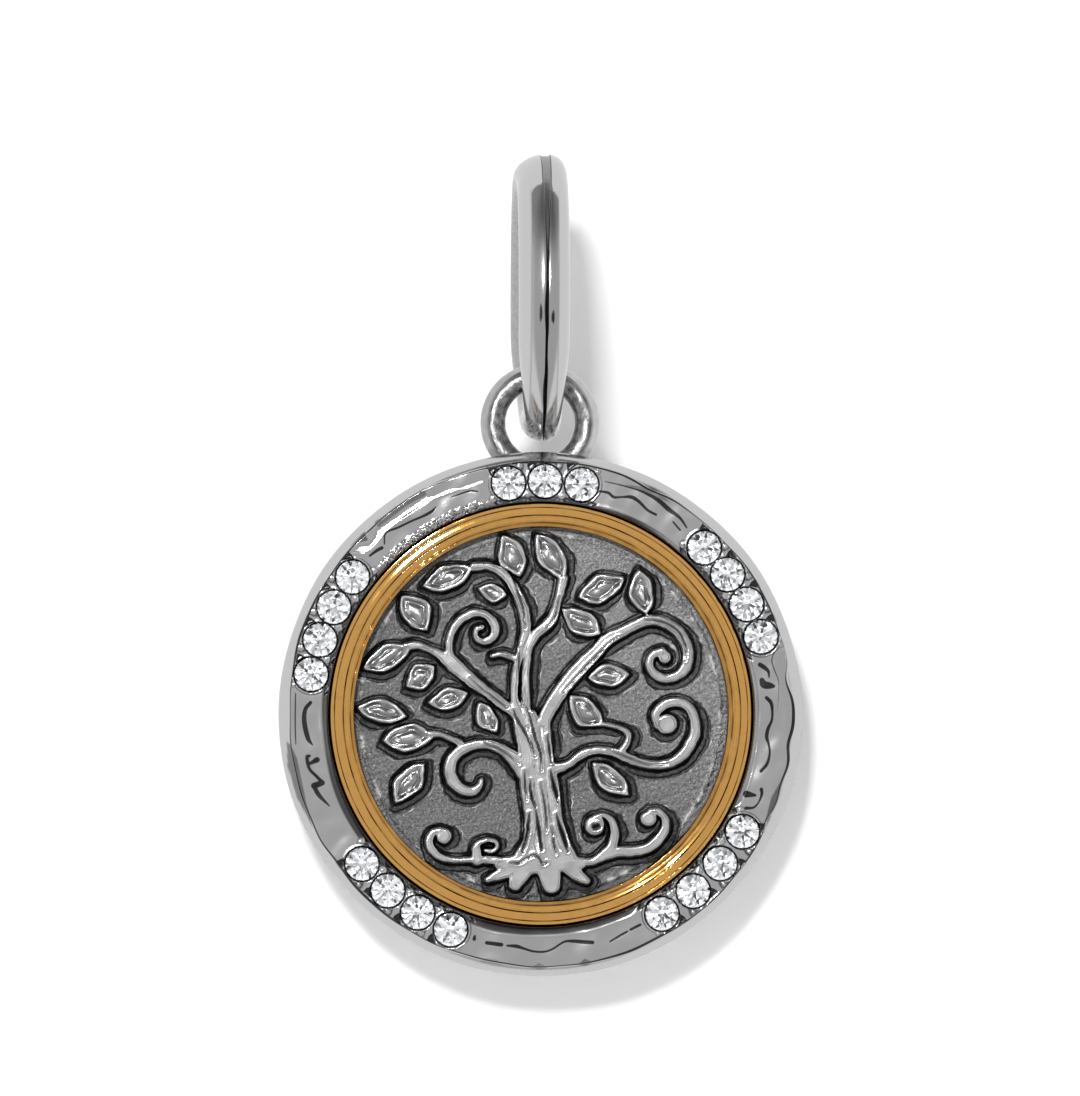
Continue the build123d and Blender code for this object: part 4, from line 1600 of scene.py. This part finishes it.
        # The cup's wall and floor are painted dark, as shade in the gap to the gold ring.
        for inset, out, dark in ((0.0, -0.08, 0.5), (-0.01, -0.2, 0.8), (0.0, None, 1.0), (-4.0, None, 1.0)):
            level = self.cup_floor * one if out is None else below + out * MM
            rows.append(((self.cup_radius + inset * MM) * one, level, one, dark * one, away))
        points = [self.disc.place(*circle(row[0], turn).T, row[1] * one) for row in rows]
        points.append(self.disc.place(np.zeros(2), np.zeros(2), np.array([self.back, self.cup_floor])))
        count, last = len(angle), len(rows) * len(angle)
        faces = grid_quads(len(rows), count, wrap=True).tolist()
        faces += fan(np.arange(count), last).tolist()
        faces += fan(np.arange(last - count, last), last + 1)[:, [0, 2, 1]].tolist()
        rough, shade, ink = (
            np.concatenate([row[k] for row in rows] + [np.array(ends)])
            for k, ends in ((2, (0, 1)), (3, (0, 1)), (4, (self.far, self.far)))
        )
        return Shape(np.vstack(points), faces, {"rough": rough, "shade": shade, "ink": ink / MM})

    def loop_shape(self) -> Shape:
        """The wire loop, a ring that is rough inside, painted dark there as a dark reflection.

        Returns:
            The closed shape.
        """
        columns, rows = self.loop_columns, self.loop_rows
        around = np.linspace(0, 2 * pi, rows, endpoint=False)
        half = self.loop_wire / 2
        middle = self.loop_outer_radius - half
        inward = -np.cos(around)
        inner = ease(-0.36, -0.24, inward)
        points, shade = [], []
        for turn in np.linspace(0, 2 * pi, columns, endpoint=False):
            spots = np.stack([np.full(rows, turn * middle), around * half], axis=1)
            patches = soft_noise(spots, 0.5 * MM, 41) + 0.6 * soft_noise(spots, 0.2 * MM, 42)
            reach = half * (1 - 0.02 * inner * np.clip(patches, 0, 1))
            radius = middle + reach * np.cos(around)
            out = reach * np.sin(around)
            points.append(np.stack([radius * cos(turn), -out, self.loop_z + radius * sin(turn)], axis=1))
            # The outer face is darker in patches and towards the left.
            darkened = (0.16 - 0.1 * cos(turn) + 0.05 * patches) * (1 - inner)
            # The inner side is painted dark as a dark reflection, with a dark line where it meets the outer
            # face.
            dark = inner * (0.4 + 0.28 * patches) + darkened + 0.5 * bell(inward + 0.3, 0.06)
            shade.append(np.clip(dark, 0, 0.9))
        masks = {
            "rough": np.tile(inner, columns),
            "shade": np.concatenate(shade),
            "ink": np.full(columns * rows, self.far / MM),
        }
        return Shape(np.vstack(points), tube_faces(columns, rows), masks)


# Rows of radius, drop and painted shade, from the outside in.
RING_PROFILE = (
    (210.1, 0.05, 0.0), (209.9, 0.026, 0.0), (209.2, 0.0205, 0.0), (209.0, 0.0195, 0.0),
    (207.1, 0.0185, 0.0), (207.0, 0.03, 0.9), (206.0, 0.03, 0.9), (205.9, 0.0175, 0.0), (204.2, 0.0165, 0.0),
    (203.9, 0.0145, 0.0), (201.9, 0.0005, 0.0), (201.6, 0.0, 0.0), (199.15, 0.0, 0.05), (199.05, 0.012, 0.9),
    (198.9, 0.04, 1.0), (198.0, 0.04, 1.0), (197.85, 0.012, 0.9), (197.75, 0.002, 0.1), (197.5, 0.0025, 0.1),
    (195.7, 0.0155, 0.1), (195.5, 0.0165, 0.5), (195.35, 0.017, 0.95), (194.2, 0.0175, 0.95),
    (194.05, 0.0175, 0.5), (193.9, 0.018, 0.15), (192.5, 0.0275, 0.15), (192.2, 0.028, 0.25),
    (191.9, 0.03, 0.6), (191.6, 0.07, 0.8), (190.6, 0.075, 0.8), (190.4, 0.062, 0.7), (190.3, 0.06, 0.35),
    (187.7, 0.062, 0.35), (187.4, 0.08, 0.85), (186.8, 0.16, 0.95),
)


@dataclass
class RidgedRing:
    """The gold ring: flat ridges that step down inwards, with fine dark grooves between them.

    The profile gives, from the outside in, each row's radius in picture dots, its drop below the crown in
    millimetres, and how dark it is, which is painted shade in the grooves, on the inner band and at the
    edges. The rows near the middle groove sway to one side. Small nicks stand inside the nicked radius, along
    an arc that sets in and fades out over the angles given, and the short groove is only near one angle.
    """

    disc: DiscPlane
    dot: float
    outer_radius: float
    inner_radius: float
    base: float
    top: float
    profile: tuple = RING_PROFILE
    columns: int = 900
    groove_middle: float = 197
    groove_reach: float = 9
    groove_turn: float = 20
    groove_sway: float = 1.3
    short_groove: Pair = (194, 195.6)
    short_groove_angle: float = 308
    short_groove_spread: float = 12
    nicked_from: float = 192
    nicks_start: Pair = (104, 112)
    nicks_end: Pair = (164, 176)
    nick_rise: float = 0.03
    tight: float = 0.1

    def tight_rows(self) -> list[Array]:
        """The profile with rows close to both ends of each long stretch, so that it is shaded flat.

        Returns:
            The rows.
        """
        rows = [np.array(self.profile[0])]
        for after in np.array(self.profile[1:]):
            before = rows[-1]
            gap = before[0] - after[0]
            if gap > 0.5:
                step = after - before
                rows += [before + step * self.tight / gap, after - step * self.tight / gap]
            rows.append(after)
        return rows

    def shape(self) -> Shape:
        """The profile turned round the disc, with its sway and its nicks.

        Returns:
            The closed shape with its groove mask.
        """
        angle = np.linspace(0, 360, self.columns, endpoint=False)
        turn = np.radians(angle)
        one = np.ones(self.columns)
        # The ring's outer and inner sides are painted dark, as shade.
        rows = [(self.outer_radius * one, self.base * one, 0.9 * one)]
        nicks = np.clip(np.sin(23 * turn) * np.sin(41 * turn + 1) * np.sin(7 * turn + 2) * 3 - 0.5, 0, 1)
        nicks *= ease(*self.nicks_start, angle) * fade(*self.nicks_end, angle)
        for radius, drop, dark in self.tight_rows():
            shift = self.groove_sway * bell(radius - self.groove_middle, self.groove_reach)
            r = (radius + shift * np.cos(turn - radians(self.groove_turn))) * self.dot
            places = circle(r, turn)
            low = drop + 0.003 * soft_noise(places, 2.2 * MM, 30) * (0.006 < drop)
            faded = dark * np.clip(0.8 + 0.35 * soft_noise(places, 1.8 * MM, 31 + int(radius)), 0.25, 1)
            if self.short_groove[0] < radius < self.short_groove[1]:
                faded = faded * bell(turn_from(angle, self.short_groove_angle), self.short_groove_spread)
            if radius < self.nicked_from:
                low = low - self.nick_rise * nicks
                faded = faded * (1 - 0.6 * nicks)
            rows.append((r, self.top - np.maximum(low, 0) * MM, faded))
        rows.append((self.inner_radius * one, (self.top - 0.3 * MM) * one, 0.9 * one))
        rows.append((self.inner_radius * one, self.base * one, one))
        points = [self.disc.place(*circle(r, turn).T, out) for r, out, _ in rows]
        shade = np.concatenate([row[2] for row in rows])
        return Shape(np.vstack(points), tube_faces(len(rows), self.columns), {"shade": shade})


@dataclass
class BrilliantStone:
    """A round brilliant: table, star, crown, girdle and pavilion facets.

    The reaches are how far out the stars' tips and the long pavilion facets' tips are, as shares.
    """

    disc: DiscPlane
    radius: float
    girdle_out: float
    table_share: float = 0.56
    crown_angle: float = CROWN_ANGLE
    pavilion_angle: float = 41
    girdle: float = 0.05 * MM
    star_reach: float = 0.8
    lower_reach: float = 0.3

    def shape(self, right: float, up: float, turn: float, lean: Pair) -> Shape:
        """The stone in its place.

        Args:
            right: How far right of the disc's centre it is.
            up: How far above it.
            turn: Its turn about its own axis, in degrees.
            lean: How much it leans towards the right and upwards, as a slope.

        Returns:
            The stone as a closed shape.
        """
        table = self.radius * self.table_share
        crown = (self.radius - table) * tan(radians(self.crown_angle))
        depth = self.radius * tan(radians(self.pavilion_angle))
        star = self.radius * self.star_reach
        lower = self.radius * self.lower_reach
        star_z = crown * (self.radius - star * cos(pi / 8)) / (self.radius - table)
        lower_z = -self.girdle - depth * (1 - lower * cos(pi / 8) / self.radius)
        rings = (
            (8, 0, table, crown),
            (8, 22.5, star, star_z),
            (16, 0, self.radius, 0),
            (16, 0, self.radius, -self.girdle),
            (8, 22.5, lower, lower_z),
        )
        rows = []
        for count, offset, radius, z in rings:
            for i in range(count):
                rows.append((*polar(radius, turn + offset + i * 360 / count), z))
        rows.append((0, 0, -self.girdle - depth))
        local = np.array(rows)
        local[:, 2] += local[:, 0] * lean[0] + local[:, 1] * lean[1]
        points = self.disc.place(right + local[:, 0], up + local[:, 1], self.girdle_out + local[:, 2])
        s, g, b, p, culet = 8, 16, 32, 48, 56
        faces = [list(range(8))]
        for i in range(8):
            q, m, before = 2 * i, (2 * i + 2) % 16, (i - 1) % 8
            faces += [
                [i, s + i, (i + 1) % 8],
                [i, s + before, g + q, s + i],
                [s + i, g + q, g + q + 1],
                [s + i, g + q + 1, g + m],
                [g + q, b + q, b + q + 1, g + q + 1],
                [g + q + 1, b + q + 1, b + m, g + m],
                [p + i, b + q + 1, b + q],
                [p + i, b + m, b + q + 1],
                [culet, p + i, b + q, p + before],
            ]
        return Shape(points, faces)


@dataclass
class DoubleBail:
    """The oval bail: a rounded band with a groove that splits its face and opens towards the top.

    Places along it are in picture dots below its top. A darker zone, a painted dark reflection, lies on both
    sides of the groove, with its width and its start given for the right side and then the left. The two
    short dark dashes on the front half are painted reflections of the camera lens, each given as a place
    across in millimetres, and a start and an end. The groove is painted dark as shade, and the band's inner
    side as a dark reflection.
    """

    half_depth: float
    top: float
    bottom: float
    width: float
    dot: float
    thickness: float = 2.0 * MM
    foot_width: float = 1.76 * MM
    front_trim: float = 0.12 * MM
    top_gap: float = 0.36 * MM
    groove_gap: float = 0.07 * MM
    groove_depth: float = 0.34 * MM
    groove_lift: float = 0.28 * MM
    shoulder: float = 0.16 * MM
    flank_rows: int = 22
    inner_rows: int = 26
    columns: int = 320
    zone: Pair = (0.52 * MM, 0.66 * MM)
    zone_start: Pair = (38, 31)
    line_start: float = 95
    foot_start: float = 268
    lens_reflections: tuple = ((-0.27, 151, 171), (0.26, 158, 173))
    lens_reflection_half_widths: tuple = (0.8, 1.6, 1.8, 1.6, 0.6)
    far: float = 0.3 * MM

    def section(self, width: float, gap: float, depth: float) -> tuple[Array, ...]:
        """The bail's outline across its band, from the right round the face and back inside.

        Args:
            width: The band's width.
            gap: The groove's width at its floor.
            depth: The groove's depth.

        Returns:
            For each point: its place across, its place outwards, how far up the groove's wall it is from
            0 to 1, and whether it is on the band's inner side.
        """
        half_width, half = width / 2, self.thickness / 2
        start = (gap / 2 + 1.6 * self.shoulder) / half_width
        flank = np.sin(np.linspace(np.arcsin(start), pi / 2, self.flank_rows)) * half_width
        near = gap / 2 + self.shoulder * np.array([1.0, 0.6, 0.34, 0.18, 0.08, 0.02, 0.0])
        sides = []
        for edge in self.zone:
            outer = np.sort(np.concatenate([flank, [edge - 0.012 * MM, edge + 0.012 * MM]]))[::-1]
            sides.append(np.concatenate([outer, near, [gap / 4]]))
        across = np.concatenate([sides[0], [0.0], -sides[1][::-1]])
        dome = half * np.sqrt(np.clip(1 - (across / half_width) ** 2, 0, 1))
        beyond = np.clip((np.abs(across) - gap / 2) / self.shoulder, 0, 1)
        out = dome - 0.18 * self.shoulder * (1 - beyond) ** 2.2 - depth * (1 - ease(0.0, 0.1, beyond))
        inner = np.linspace(0, pi, self.inner_rows + 2)[1:-1]
        one = np.ones(self.inner_rows)
        return (
            np.concatenate([across, -half_width * np.cos(inner)]),
            np.concatenate([out, -half * np.sin(inner)]),
            np.concatenate([beyond, one]),
            np.concatenate([np.zeros(len(across)), one]),
        )

    def tones(self, across: Array, down: Array, beyond: Array, opened: float, in_front: bool) -> tuple:
        """The painted dark reflections of the zone and of the camera lens, and the groove's painted shade.

        Args:
            across: Places across the band, from the groove.
            down: Places along the band, in picture dots below its top.
            beyond: How far up the groove's wall each point is.
            opened: How far the groove has opened into a valley.
            in_front: Whether this is the half with the marks.

        Returns:
            The dark tones, and how far each point is outside the black lines.
        """
        right = across > 0
        edge = np.where(right, *self.zone)
        start = np.where(right, *self.zone_start)
        short = np.clip((start + 12 - down) / 12, 0, 1)
        reach = edge * np.sqrt(1 - short**2)
        within = fade(-0.02 * MM, 0.02 * MM, np.abs(across) - reach)
        # The zone is a painted dark reflection, with a darker border.
        zone = within * (down > start) * (0.6 * fade(55, 130, down) + 0.05)
        border = 0.3 * bell(np.abs(across) - edge, 0.035 * MM) * ease(0, 14, down - start)
        # The groove's floor and walls: painted shade.
        floor = (beyond <= 0) * (1 - 0.5 * opened)
        wall = ((beyond > 0) & (beyond < 0.2)) * (0.35 + 0.5 * opened)
        shade = np.max([zone, border, floor, wall], axis=0)
        sway = self.dot * 0.5 * np.sin(down / 9) * np.sin(down / 23 + 1)
        half = self.dot * (1.85 + 0.6 * np.sin(down / 13 + 2))
        half = half * ease(self.line_start - 4, self.line_start + 6, down)
        # The groove's black line: painted shade.
        ink = np.where(down > self.line_start, np.abs(across - sway) - half, self.far)
        spots = np.stack([across, down * self.dot], axis=1)
        # Two short dashes: painted reflections of the camera lens.
        for place, first, last in self.lens_reflections if in_front else ():
            line = np.array([(place * MM, y * self.dot) for y in np.linspace(first, last, 5)])
            halves = self.dot * np.array(self.lens_reflection_half_widths)
            ink = np.minimum(ink, line_distance(spots, line, halves))
        return shade, ink

    def shape(self) -> Shape:
        """The band bent round the oval, narrower towards its foot.

        Returns:
            The closed shape with its masks.
        """
        centre_z = (self.top + self.bottom) / 2
        half_height = (self.top - self.bottom - self.thickness) / 2
        half_depth = self.half_depth - self.thickness / 2
        points, masks, count = [], {"shade": [], "rough": [], "ink": []}, 0
        for i in range(self.columns):
            turn = 2 * pi * i / self.columns
            y, z = half_depth * sin(turn), half_height * cos(turn)
            normal = Vector((0, sin(turn) / half_depth, cos(turn) / half_height)).normalized()
            height = (cos(turn) + 1) / 2
            opened = float(ease(0.62, 0.97, np.array(height)))
            foot = float(fade(0.0, 0.34, np.array(height)))
            front = float(ease(0.05, 0.4, np.array(-sin(turn))))
            width = self.width + (self.foot_width - self.width) * foot
            gap = self.groove_gap + (self.top_gap - self.groove_gap) * opened
            depth = self.groove_depth - self.groove_lift * opened
            across, out, beyond, inner = self.section(width, gap, depth)
            count = len(across)
            down = (self.top - (centre_z + z + normal.z * out)) / self.dot
            spots = np.stack([across, down * self.dot], axis=1)
            grit = soft_noise(spots, 0.3 * MM, 51) + 0.8 * soft_noise(spots, 0.12 * MM, 52)
            ragged = down + 4 * np.sin(across / (0.13 * MM))
            low = ease(self.foot_start, self.foot_start + 7, ragged) * (1 - inner)
            shade, ink = self.tones(across, down, beyond, opened, front > 0.5)
            # The band's inner side is painted dark as a dark reflection; the foot gets dark grit.
            shade = np.where(inner > 0, 0.3 + 0.05 * grit, np.maximum(shade, low * (0.22 + 0.35 * grit)))
            out = out - 0.02 * MM * low * np.clip(grit, 0, 1)
            masks["shade"].append(np.clip(shade, 0, 1))
            masks["rough"].append(np.maximum(low, 0.1 * inner))
            masks["ink"].append(np.where(inner > 0, self.far, ink) / MM)
            drift = (0.09 + 0.12 * height) * MM * (1 - (2 * across / width) ** 2)
            trim = self.front_trim * front * np.clip(-2 * across / width, 0, 1)
            placed = across + drift * (1 - inner) + trim
            points.append(np.stack([placed, y + normal.y * out, centre_z + z + normal.z * out], axis=1))
        masks = {name: np.concatenate(rows) for name, rows in masks.items()}
        return Shape(np.vstack(points), tube_faces(self.columns, count), masks)


# The room


@dataclass
class Studio:
    """The pale floor and wall, the soft lights and the camera."""

    target: Vector
    photo_scale: float
    azimuth: float = -1.9
    distance: float = 0.5
    reach: float = 0.6
    key_offset: tuple = (-0.0765, -0.45, 0.18)
    key_power: float = 1.6
    gleam_offset: tuple = (-0.084, -0.45, 0.123)
    gleam_power: float = 1.0
    gleam_size: float = 0.03
    key_size: float = 0.06
    front_tone: float = 0.52
    high_tone: float = 0.2
    side_tone: float = 0.9
    gleam_tones: Pair = (0.02, 0.93)
    gleam_scale: float = 19.0
    ambient_tone: float = 0.58
    paper_tone: float = 0.93
    wall_bends: int = 13

    def paper(self, name: str, line: list[Pair], see_through_back: bool) -> bpy.types.Object:
        """A sheet of pale paper.

        Args:
            name: The object's name.
            line: Its line from the side, as a place back and a height for each bend.
            see_through_back: Whether it can't be seen from behind.

        Returns:
            The sheet.
        """
        corners = np.array([(side * self.reach, back, up) for back, up in line for side in (-1, 1)])
        faces = [[i, i + 1, i + 3, i + 2] for i in range(0, len(corners) - 2, 2)]
        sheet = Shape(corners, faces).to_object(name)
        made = bpy.data.materials.new(name)
        made.use_nodes = True
        build = NodeTree(made.node_tree)
        surface = made.node_tree.nodes["Principled BSDF"]
        build.put(surface, "Base Color", (*[self.paper_tone] * 3, 1))
        build.put(surface, "Roughness", 0.9)
        build.put(surface, "Specular IOR Level", 0.1)
        if see_through_back:
            behind = build.add("ShaderNodeNewGeometry").outputs["Backfacing"]
            mixed = build.add("ShaderNodeMixShader", None, Fac=behind)
            build.put(mixed, 1, surface.outputs[0])
            build.put(mixed, 2, build.add("ShaderNodeBsdfTransparent").outputs[0])
            build.put(made.node_tree.nodes["Material Output"], "Surface", mixed.outputs[0])
        sheet.data.materials.append(made)
        sheet.visible_glossy = False
        return sheet

    def light(self, name: str, place: tuple[float, float, float], power: float, gleams: bool) -> None:
        """A square soft light at an offset from the picture's centre, which it points at.

        Args:
            name: The light's name.
            place: The offset.
            power: Its power in watts.
            gleams: Whether it shows only in gleams, or else only in soft light and shadows.
        """
        data = bpy.data.lights.new(name, "AREA")
        data.shape = "SQUARE"
        data.size = self.gleam_size if gleams else self.key_size
        data.energy = power
        lamp = add_object(name, data)
        lamp.location = self.target + Vector(place)
        lamp.rotation_euler = (-Vector(place)).to_track_quat("-Z", "Y").to_euler()
        lamp.visible_diffuse = not gleams
        lamp.visible_glossy = gleams

    def sky(self) -> bpy.types.World:
        """The room that shows in reflections: grey in front, and pale at both sides and behind.

        Returns:
            The world, which is patchy in the stones and white to the camera.
        """
        world = bpy.data.worlds.new("studio_room")
        world.use_nodes = True
        world.node_tree.nodes.clear()
        build = NodeTree(world.node_tree)
        facing = build.add("ShaderNodeTexCoord").outputs["Generated"]
        split = build.add("ShaderNodeSeparateXYZ", None, Vector=facing)
        right, forward = split.outputs["X"], split.outputs["Y"]
        squares = build.math("ADD", *(build.times(side, side) for side in (right, forward)))
        level = build.math("MAXIMUM", build.math("SQRT", squares), 0.001)
        ahead = build.math("DIVIDE", build.times(forward, -1.0), level)
        front = build.stretch(split.outputs["Z"], 0.5, 0.72, self.front_tone, self.high_tone)
        room = build.between(build.stretch(ahead, 0.45, 0.66, 0.0, 1.0), self.side_tone, front)
        patches = build.add("ShaderNodeTexNoise", None, Vector=facing, Scale=self.gleam_scale, Detail=3.0)
        gleam = build.stretch(patches.outputs["Fac"], 0.4, 0.57, *self.gleam_tones)
        rays = build.add("ShaderNodeLightPath").outputs
        mirrored = build.between(rays["Is Glossy Ray"], self.ambient_tone, room)
        soft = build.between(rays["Is Transmission Ray"], mirrored, gleam)
        seen = build.between(rays["Is Camera Ray"], soft, 1.0)
        glow = build.add("ShaderNodeBackground", None, Color=(1, 1, 1, 1), Strength=seen)
        build.add("ShaderNodeOutputWorld", None, Surface=glow.outputs[0])
        return world

    def build(self, near: Pair, far: Pair, floor_z: float) -> None:
        """Puts up the room.

        Args:
            near: How far back the wall stands behind the disc, and up to what height.
            far: How far back it stands behind the bail, and from what height.
            floor_z: The floor's height.
        """
        share = np.linspace(0, 1, self.wall_bends)
        backs = near[0] + (far[0] - near[0]) * ease(0, 1, share)
        heights = near[1] + (far[1] - near[1]) * share
        line = [(near[0], floor_z), *zip(backs, heights), (far[0], self.reach)]
        self.paper("paper_wall", line, True)
        self.paper("paper_floor", [(-self.reach, floor_z), (self.reach, floor_z)], False)
        self.light("key_light", self.key_offset, self.key_power, False)
        self.light("gleam_light", self.gleam_offset, self.gleam_power, True)
        scene = bpy.context.scene
        scene.world = self.sky()
        scene.view_settings.view_transform = "Standard"
        scene.cycles.max_bounces = 16
        scene.cycles.transmission_bounces = 12
        self.camera()

    def camera(self) -> None:
        """A long lens at the photograph's angle, framing the photograph's picture."""
        data = bpy.data.cameras.new("photo_camera")
        data.sensor_fit = "HORIZONTAL"
        data.lens = data.sensor_width * self.distance / (PHOTO_WIDTH * self.photo_scale)
        data.clip_end = 5
        turn = radians(self.azimuth)
        back = Vector((sin(turn), -cos(turn), 0))
        camera = add_object("photo_camera", data)
        camera.location = self.target + back * self.distance
        camera.rotation_euler = (-back).to_track_quat("-Z", "Y").to_euler()
        bpy.context.scene.camera = camera


def stone_places(seat_radius: float, pitch_radius: float) -> list[StonePlace]:
    """The stones' places on the rim.

    Args:
        seat_radius: The radius of a stone's seat.
        pitch_radius: The radius of the circle on which the seats' middles are.

    Returns:
        The places, counterclockwise within each group.
    """
    places = []
    for row in STONE_ROWS:
        step = degrees((2 * seat_radius + SEAT_WEB) / pitch_radius) + row.extra
        for i in range(row.count):
            angle = row.middle + (i - (row.count - 1) / 2) * step
            end = -1 if i == 0 else 1 if i == row.count - 1 else 0
            places.append(StonePlace(*polar(pitch_radius, angle), angle, row.horn_side, end))
    return places


def main() -> None:
    """Builds every piece of the pendant, then the room round it."""
    logging.basicConfig(level=logging.INFO, format="%(message)s")
    frame_low, frame_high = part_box("frame")
    plate_low, plate_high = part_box("medallion")
    ring_low, ring_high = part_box("gold_ring")
    bail_low, bail_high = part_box("bail")
    stone_low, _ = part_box("stone_01")
    disc = DiscPlane((plate_low.z + plate_high.z) / 2)
    pivot_z = frame["joints"][0]["pos_m"][2]
    radius = (frame_high.x - frame_low.x) / 2
    dot = 2 * radius / FRAME_DOTS

    groups = ShaderGroups()
    silver = BrightSilver("hammered_silver", groups)
    bail_silver = BrightSilver("bail_silver", groups, roughness=0.1, dark_roughness=0.5)
    antiqued = AntiquedSilver("antiqued_silver_relief", groups)
    gold = PolishedGold("polished_gold", groups)
    crystal = ClearStone("clear_stone", groups)

    plate_radius, plate_back = (plate_high.x - plate_low.x) / 2, -plate_high.y
    medallion = TreeMedallion(disc, VISIBLE_RADIUS, plate_radius, plate_back, plate_back + PLATE_THICKNESS)
    finish_piece(medallion.shape(), "tree_medallion", Body.PENDANT, Slot.ANTIQUED, antiqued, "medallion")

    ring_outer = (ring_high.x - ring_low.x) / 2 + 2 * FIT_GAP
    ring = RidgedRing(disc, dot, ring_outer, VISIBLE_RADIUS, -ring_high.y, -ring_low.y)
    finish_piece(ring.shape(), "ridged_gold_ring", Body.PENDANT, Slot.GOLD, gold, "gold_ring")

    cup_radius = radius - RIM_WIDTH
    places = stone_places(SEAT_RADIUS, cup_radius + SEAT_INSET + SEAT_RADIUS)
    rim = HammeredFrame(
        disc, dot, radius, FRAME_FACE, -frame_high.y, cup_radius, cup_floor=plate_back - FIT_GAP,
        loop_z=pivot_z, loop_outer_radius=frame_high.z - pivot_z, stones=places, stone_radius=STONE_RADIUS,
    )
    whole = rim.disc_shape().facing_out().joined(rim.loop_shape().facing_out())
    finish_piece(whole, "hammered_frame", Body.PENDANT, Slot.SILVER, silver, "frame")

    crown = STONE_RADIUS * CROWN_SHARE * tan(radians(CROWN_ANGLE))
    stone = BrilliantStone(disc, STONE_RADIUS, -stone_low.y - crown)
    draw = np.random.default_rng(SEED + 100)
    for number, place in enumerate(places, start=1):
        name = f"stone_{number:02d}"
        turn, lean = draw.uniform(0, MOST_TURN), tuple(draw.uniform(-MOST_LEAN, MOST_LEAN, 2))
        cut = stone.shape(place.right, place.up, turn, lean)
        finish_piece(cut, f"cut_{name}", Body.PENDANT, Slot.CRYSTAL, crystal, name, smooth=False)

    bail = DoubleBail(bail_high.y, bail_high.z, bail_low.z, bail_high.x - bail_low.x, dot)
    finish_piece(bail.shape(), "double_bail", Body.BAIL, Slot.SILVER, bail_silver, "bail")

    studio = Studio(Vector((0, 0, disc.centre_z + PICTURE_CENTRE_DOTS * dot)), dot)
    near_wall, far_wall = (WALL_GAP, BEND_START), (bail_high.y + WALL_GAP, BEND_END)
    studio.build(near_wall, far_wall, cad_bounds[0].z - FLOOR_GAP)


if __name__ == "__main__":
    main()
